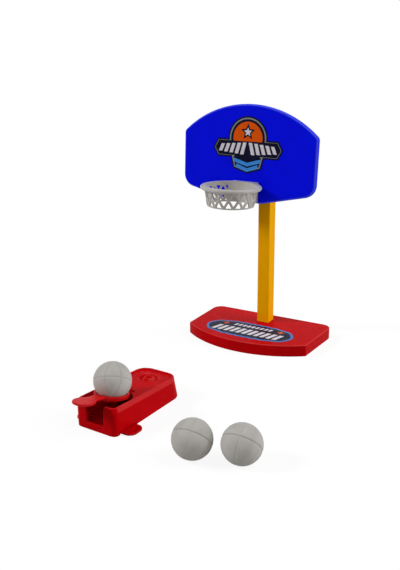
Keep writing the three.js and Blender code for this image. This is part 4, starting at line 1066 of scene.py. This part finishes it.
def ball_mesh(name, axes, groove):
    work = bmesh.new()
    bmesh.ops.create_icosphere(work, subdivisions=7, radius=1)
    mesh = bpy.data.meshes.new(name)
    work.to_mesh(mesh)
    work.free()
    count = len(mesh.vertices)
    flat = np.zeros(count * 3)
    mesh.vertices.foreach_get("co", flat)
    directions = flat.reshape(-1, 3)
    directions /= np.linalg.norm(directions, axis=1)[:, None]
    main, cross, oval = seam_depth(directions @ np.array(axes).T)
    depth = np.maximum.reduce([groove * main, 0.14 * cross, 0.2 * oval])
    vent = np.arccos(np.clip(-directions[:, 2], -1, 1)) * BALL_RADIUS
    depth = depth + VENT_DEPTH / (1 + np.exp((vent - VENT_RADIUS) / VENT_EDGE))
    mesh.vertices.foreach_set("co", (directions * (BALL_RADIUS - depth)[:, None]).ravel())
    shown = np.clip(np.maximum.reduce([2 * groove * main, 0.3 * cross, 0.45 * oval]), 0, 1)
    mark(mesh, "seam", shown)
    for polygon in mesh.polygons:
        polygon.use_smooth = True
    mesh.update()
    return linked(name, mesh)


# Right, up and towards the camera, as seen from a ball's centre
def screen_axes(centre):
    towards = (CAMERA_PLACE - centre).normalized()
    right = (CAMERA_RIGHT - towards * CAMERA_RIGHT.dot(towards)).normalized()
    return right, towards.cross(right), towards


def make_balls():
    cup_centre = LEVER @ Vector((0, 0, BALL_LIFT))
    right, up, towards = screen_axes(cup_centre)
    tilt, roll = math.radians(11), math.radians(-1.8)
    x_axis = towards * math.cos(tilt) + up * math.sin(tilt)
    upward = up * math.cos(tilt) - towards * math.sin(tilt)
    z_axis = upward * math.cos(roll) - right * math.sin(roll)
    loaded = ball_mesh("loaded_ball", [x_axis, z_axis.cross(x_axis), z_axis], 0.2)
    place = Matrix.Translation(cup_centre)
    placed(loaded, "loaded_ball", place, RUBBER, "loaded_ball", ["ball_in_cup"])
    for name, (x, y) in SPARE_BALLS.items():
        centre = Vector((x, y, BALL_RADIUS))
        right, up, towards = screen_axes(centre)
        z_axis = (right * 0.34 + up * 0.888 - towards * 0.31).normalized()
        near = right * -0.06 + up * 0.44 + towards * 0.896
        y_axis = (near - z_axis * near.dot(z_axis)).normalized()
        shape = ball_mesh(name + "_visual", [y_axis.cross(z_axis), y_axis, z_axis], 0.34)
        body = "left_ball" if name.endswith("left") else "right_ball"
        placed(shape, name + "_visual", Matrix.Translation(centre), RUBBER, body, [name])


# Labels: thin printed layers

# How far a ray from a centre runs until it leaves an outline
def exit_distance(outline, centre, angle):
    direction = Vector((math.cos(angle), math.sin(angle)))
    best = 0
    for a, b in zip(outline, outline[1:] + outline[:1]):
        ax, ay = a[0] - centre[0], a[1] - centre[1]
        ex, ey = b[0] - a[0], b[1] - a[1]
        crossing = direction.x * ey - direction.y * ex
        if abs(crossing) < 1e-9:
            continue
        distance = (ax * ey - ay * ex) / crossing
        along = (ax * direction.y - ay * direction.x) / crossing
        if distance > 0 and -1e-6 <= along <= 1 + 1e-6:
            best = max(best, distance)
    return best


# One outline around several, as far out as any of them reaches
def around(centre, outlines, steps=360):
    made = []
    for step in range(steps):
        angle = 2 * math.pi * step / steps
        reach = max(exit_distance(outline, centre, angle) for outline in outlines)
        made.append((centre[0] + reach * math.cos(angle), centre[1] + reach * math.sin(angle)))
    return made


def star(x, y, outer, inner, points):
    made = []
    for step in range(points * 2):
        radius = outer if step % 2 == 0 else inner
        angle = math.pi / 2 + math.pi * step / points
        made.append((x + radius * math.cos(angle), y + radius * math.sin(angle)))
    return made


def slanted(x, y, width, height, lean):
    low, high, half = y - height / 2, y + height / 2, width / 2
    left, right = x - lean / 2, x + lean / 2
    return [(left - half, low), (left + half, low), (right + half, high), (right - half, high)]


def ribbon(half, tip, height):
    low, high = BAND_Y - height / 2, BAND_Y + height / 2
    return [(-half, low), (half, low), (tip, BAND_Y), (half, high), (-half, high), (-tip, BAND_Y)]


ON_BOARD = (facing, BOARD, 0)
ON_BASE = (upright, WORLD, BASE_HEIGHT)


# A thin layer of print over a surface
def film(surface, name, outlines, low, high, material, replaced=()):
    place, matrix, top = surface
    whole = merge(*(prism("sheet", outline, top + low, top + high, place) for outline in outlines))
    placed(finish_mesh(whole, 30), name, matrix, material, "stand", replaced)


def badge(inward):
    disc = circle(BADGE_RADIUS - inward, 120, 0, BADGE_DISC_Y)
    outlines = [inset(ribbon(26, 30, 14), inward), disc, inset(BADGE_WING, inward)]
    return [around(BADGE_MIDDLE, outlines)]


def chevron_arm(side, low, reach):
    return mirrored([(0, low), (reach, low + 3.2), (reach, low + 6), (0, low + 2.8)], side)


def make_board_label():
    film(ON_BOARD, "badge_edge", badge(0), 0.05, 0.17, INK_NAVY, ["backboard_label"])
    film(ON_BOARD, "badge_line", badge(1.2), 0.17, 0.19, INK_GREY)
    film(ON_BOARD, "badge_field", badge(2.3), 0.19, 0.21, INK_NAVY)
    film(ON_BOARD, "badge_disc", [circle(12.5, 96, 0, 49.3)], 0.21, 0.23, INK_ORANGE)
    bars = [
        slanted(side * (3.6 + 4.7 * index), BAND_Y, 3, 9.2 - index * 0.9, side * -2.4)
        for side in (-1, 1) for index in range(5)
    ]
    film(ON_BOARD, "badge_bars", bars, 0.235, 0.26, INK_WHITE)
    film(ON_BOARD, "badge_band", [ribbon(25, 28.2, 11)], 0.21, 0.235, INK_NAVY)
    film(ON_BOARD, "badge_star", [star(0, 54, 6.4, 2.9, 5)], 0.23, 0.25, INK_NAVY)
    film(ON_BOARD, "badge_star_middle", [star(0, 54, 3.6, 1.6, 5)], 0.25, 0.27, INK_WHITE)
    chevrons = [
        chevron_arm(side, 28 - 4.2 * index, 11.4 - 2.2 * index) for index in range(2) for side in (-1, 1)
    ]
    film(ON_BOARD, "badge_chevrons", chevrons, 0.21, 0.24, INK_SKY)


# A long rounded field with a gently scalloped edge
def plaque(inward):
    wide, tall = PLAQUE_HALF
    made = []
    for step in range(360):
        angle = 2 * math.pi * step / 360
        c, s = math.cos(angle), math.sin(angle)
        radius = (abs(c / wide) ** PLAQUE_POWER + abs(s / tall) ** PLAQUE_POWER) ** (-1 / PLAQUE_POWER)
        x, y = radius * c, radius * s
        push = PLAQUE_WAVE * (math.cos(PLAQUE_WAVES * angle) - 1) - inward
        normal = Vector((x / wide ** 2, y / tall ** 2)).normalized()
        made.append((x + normal.x * push, PLAQUE_Y + y + normal.y * push))
    return [made]


def make_base_label():
    film(ON_BASE, "plaque_edge", plaque(0), 0.05, 0.2, INK_BORDER, ["base_label"])
    film(ON_BASE, "plaque_field", plaque(2.2), 0.2, 0.23, INK_NAVY)
    bars = [slanted(-28 + 5.6 * index, -28.6, 3.5, 11, 3) for index in range(11)]
    bars += [slanted(-16 + 4 * index, -16.8, 2.4, 4.4, 1.2) for index in range(9)]
    film(ON_BASE, "plaque_bars", bars, 0.23, 0.26, INK_WHITE)
    stars = [star(side * 25.5, -17.4, 3.4, 1.5, 4) for side in (-1, 1)]
    film(ON_BASE, "plaque_stars", stars, 0.23, 0.26, INK_ORANGE)


# Pieces kept from the model, with softened edges

def softened(node, name, width, material, body):
    shape = linked(name, nodes[node].data.copy())
    shape.data.transform(nodes[node].matrix_world)
    work = bmesh.new()
    work.from_mesh(shape.data)
    bmesh.ops.remove_doubles(work, verts=work.verts, dist=0.000002)
    bmesh.ops.dissolve_limit(work, angle_limit=math.radians(1), verts=work.verts, edges=work.edges)
    work.to_mesh(shape.data)
    work.free()
    bevel = shape.modifiers.new("bevel", "BEVEL")
    bevel.width = width * MM
    bevel.segments = 2
    bevel.limit_method = "ANGLE"
    bevel.angle_limit = math.radians(40)
    baked(shape)
    dressed(finish_mesh(shape, 60), material, body, [node])


def screw_shape(length):
    head = lathe("screw", [*SCREW_PROFILE, (0.9, length - 1), (0, length)], 48)
    cut(head, box(-0.28, 0.28, -1.15, 1.15, -1, 0.6), box(-1.15, 1.15, -0.28, 0.28, -1, 0.6))
    return finish_mesh(head, 35)


def make_screws():
    along_y = Matrix.Rotation(math.radians(90), 4, "X")
    at = Matrix.Translation
    places = {}
    for index, (x, y) in enumerate(BASE_SCREWS):
        places[f"base_screw_{index + 1}"] = ("stand", at((x, y, SCREW_SINK)), SCREW_LENGTH)
    places["post_foot_screw"] = ("stand", at((0, POST_DEPTH / 2, SCREW_SINK)), SCREW_LENGTH)
    places["post_top_screw"] = ("stand", at(POST_TOP_SCREW) @ along_y, SHORT_SCREW_LENGTH)
    for name, side in (("bracket_screw_left", -1), ("bracket_screw_right", 1)):
        place = (side * BOARD_SCREW_X, BRACKET_SCREW_Y, BOARD_SCREW_Z)
        places[name] = ("stand", BOARD @ at(place) @ along_y, SHORT_SCREW_LENGTH)
    for index, (x, y) in enumerate(LAUNCHER_SCREWS):
        place = LAUNCHER @ at((x, y, SCREW_SINK))
        places[f"launcher_screw_{index + 1}"] = ("launcher", place, SCREW_LENGTH)
    for node, (body, matrix, length) in places.items():
        placed(screw_shape(length), node + "_cross", matrix, STEEL, body, [node])


def make_pin():
    ring = circle(PIN_RADIUS, 32, PIVOT_Y, PIVOT_Z)
    pin = pillow(ring, -PIN_HALF, PIN_HALF, PIN_EDGE, PIN_EDGE, across, 3)
    placed(finish_mesh(pin), "pin", LAUNCHER, STEEL, "launcher", ["pivot_pin"])


# Camera, floor and lamps

def camera_axes():
    ahead = Vector((
        -math.sin(CAMERA_TURN) * math.cos(CAMERA_PITCH),
        math.cos(CAMERA_TURN) * math.cos(CAMERA_PITCH),
        -math.sin(CAMERA_PITCH),
    ))
    level_right = Vector((math.cos(CAMERA_TURN), math.sin(CAMERA_TURN), 0))
    level_up = level_right.cross(ahead)
    right = level_right * math.cos(CAMERA_ROLL) + level_up * math.sin(CAMERA_ROLL)
    return right, right.cross(ahead), ahead


CAMERA_RIGHT, CAMERA_UP, CAMERA_AHEAD = camera_axes()


def make_camera():
    data = bpy.data.cameras.new("camera")
    data.lens = CAMERA_LENS
    data.sensor_width = CAMERA_SENSOR
    data.clip_start = 0.01
    data.clip_end = 50
    camera = linked("camera", data)
    turn = Matrix((CAMERA_RIGHT, CAMERA_UP, -CAMERA_AHEAD)).transposed().to_4x4()
    camera.matrix_world = Matrix.Translation(CAMERA_PLACE * MM) @ turn
    bpy.context.scene.camera = camera


# One for rays from the camera, a reflection or a see-through piece, none for other light
def seen_directly(tree):
    path = tree.nodes.new("ShaderNodeLightPath")
    share = path.outputs["Is Camera Ray"]
    for other in ("Is Glossy Ray", "Is Transmission Ray"):
        largest = add(tree, "ShaderNodeMath", operation="MAXIMUM")
        tree.links.new(share, largest.inputs[0])
        tree.links.new(path.outputs[other], largest.inputs[1])
        share = largest.outputs[0]
    return share


def shown_by_ray(tree, bounced, seen, kind):
    chosen = tree.nodes.new("ShaderNodeMixShader")
    tree.links.new(seen_directly(tree), chosen.inputs[0])
    tree.links.new(bounced.outputs[0], chosen.inputs[1])
    tree.links.new(seen.outputs[0], chosen.inputs[2])
    output = tree.nodes.new(kind)
    tree.links.new(chosen.outputs[0], output.inputs[0])


def make_floor():
    floor = solid("floor", [(x, y, -0.0001) for x, y in circle(12, 96)], [tuple(range(96))])
    material, tree = new_material("floor")[:2]
    tree.nodes.clear()
    plain = add(tree, "ShaderNodeBsdfDiffuse", Color=(0.5, 0.49, 0.48, 1))
    shaded = add(tree, "ShaderNodeBsdfDiffuse", Color=(0.13, 0.13, 0.13, 1))
    glow = add(tree, "ShaderNodeEmission", Strength=0.9)
    both = tree.nodes.new("ShaderNodeAddShader")
    tree.links.new(shaded.outputs[0], both.inputs[0])
    tree.links.new(glow.outputs[0], both.inputs[1])
    shown_by_ray(tree, plain, both, "ShaderNodeOutputMaterial")
    floor.data.materials.append(material)


def make_world():
    world = bpy.data.worlds.new("world")
    bpy.context.scene.world = world
    world.use_nodes = True
    tree = world.node_tree
    tree.nodes.clear()
    soft = add(tree, "ShaderNodeBackground", Color=(1, 0.94, 0.87, 1), Strength=0.1)
    white = add(tree, "ShaderNodeBackground", Color=(1, 1, 1, 1), Strength=1.0)
    shown_by_ray(tree, soft, white, "ShaderNodeOutputWorld")


def make_lamp(name, azimuth, elevation, strength, width):
    turn, rise = math.radians(azimuth), math.radians(elevation)
    towards = Vector((math.sin(turn) * math.cos(rise), -math.cos(turn) * math.cos(rise), math.sin(rise)))
    data = bpy.data.lights.new(name, "SUN")
    data.energy = strength
    data.angle = math.radians(width)
    lamp = linked(name, data)
    lamp.rotation_mode = "QUATERNION"
    lamp.rotation_quaternion = towards.to_track_quat("Z", "Y")


make_camera()
make_floor()
make_world()
for name, settings in LAMPS.items():
    make_lamp(name, *settings)

make_base()
make_post()
make_board()
make_basket()
make_board_label()
make_base_label()
make_housing()
make_bottom_plate()
make_lever()
make_spring()
make_balls()
make_screws()
make_pin()
softened("base_cover", "base_plate", 0.25, RED, "stand")
softened("board_bracket", "bracket", 0.35, YELLOW, "stand")

bpy.context.scene.view_settings.view_transform = "Standard"
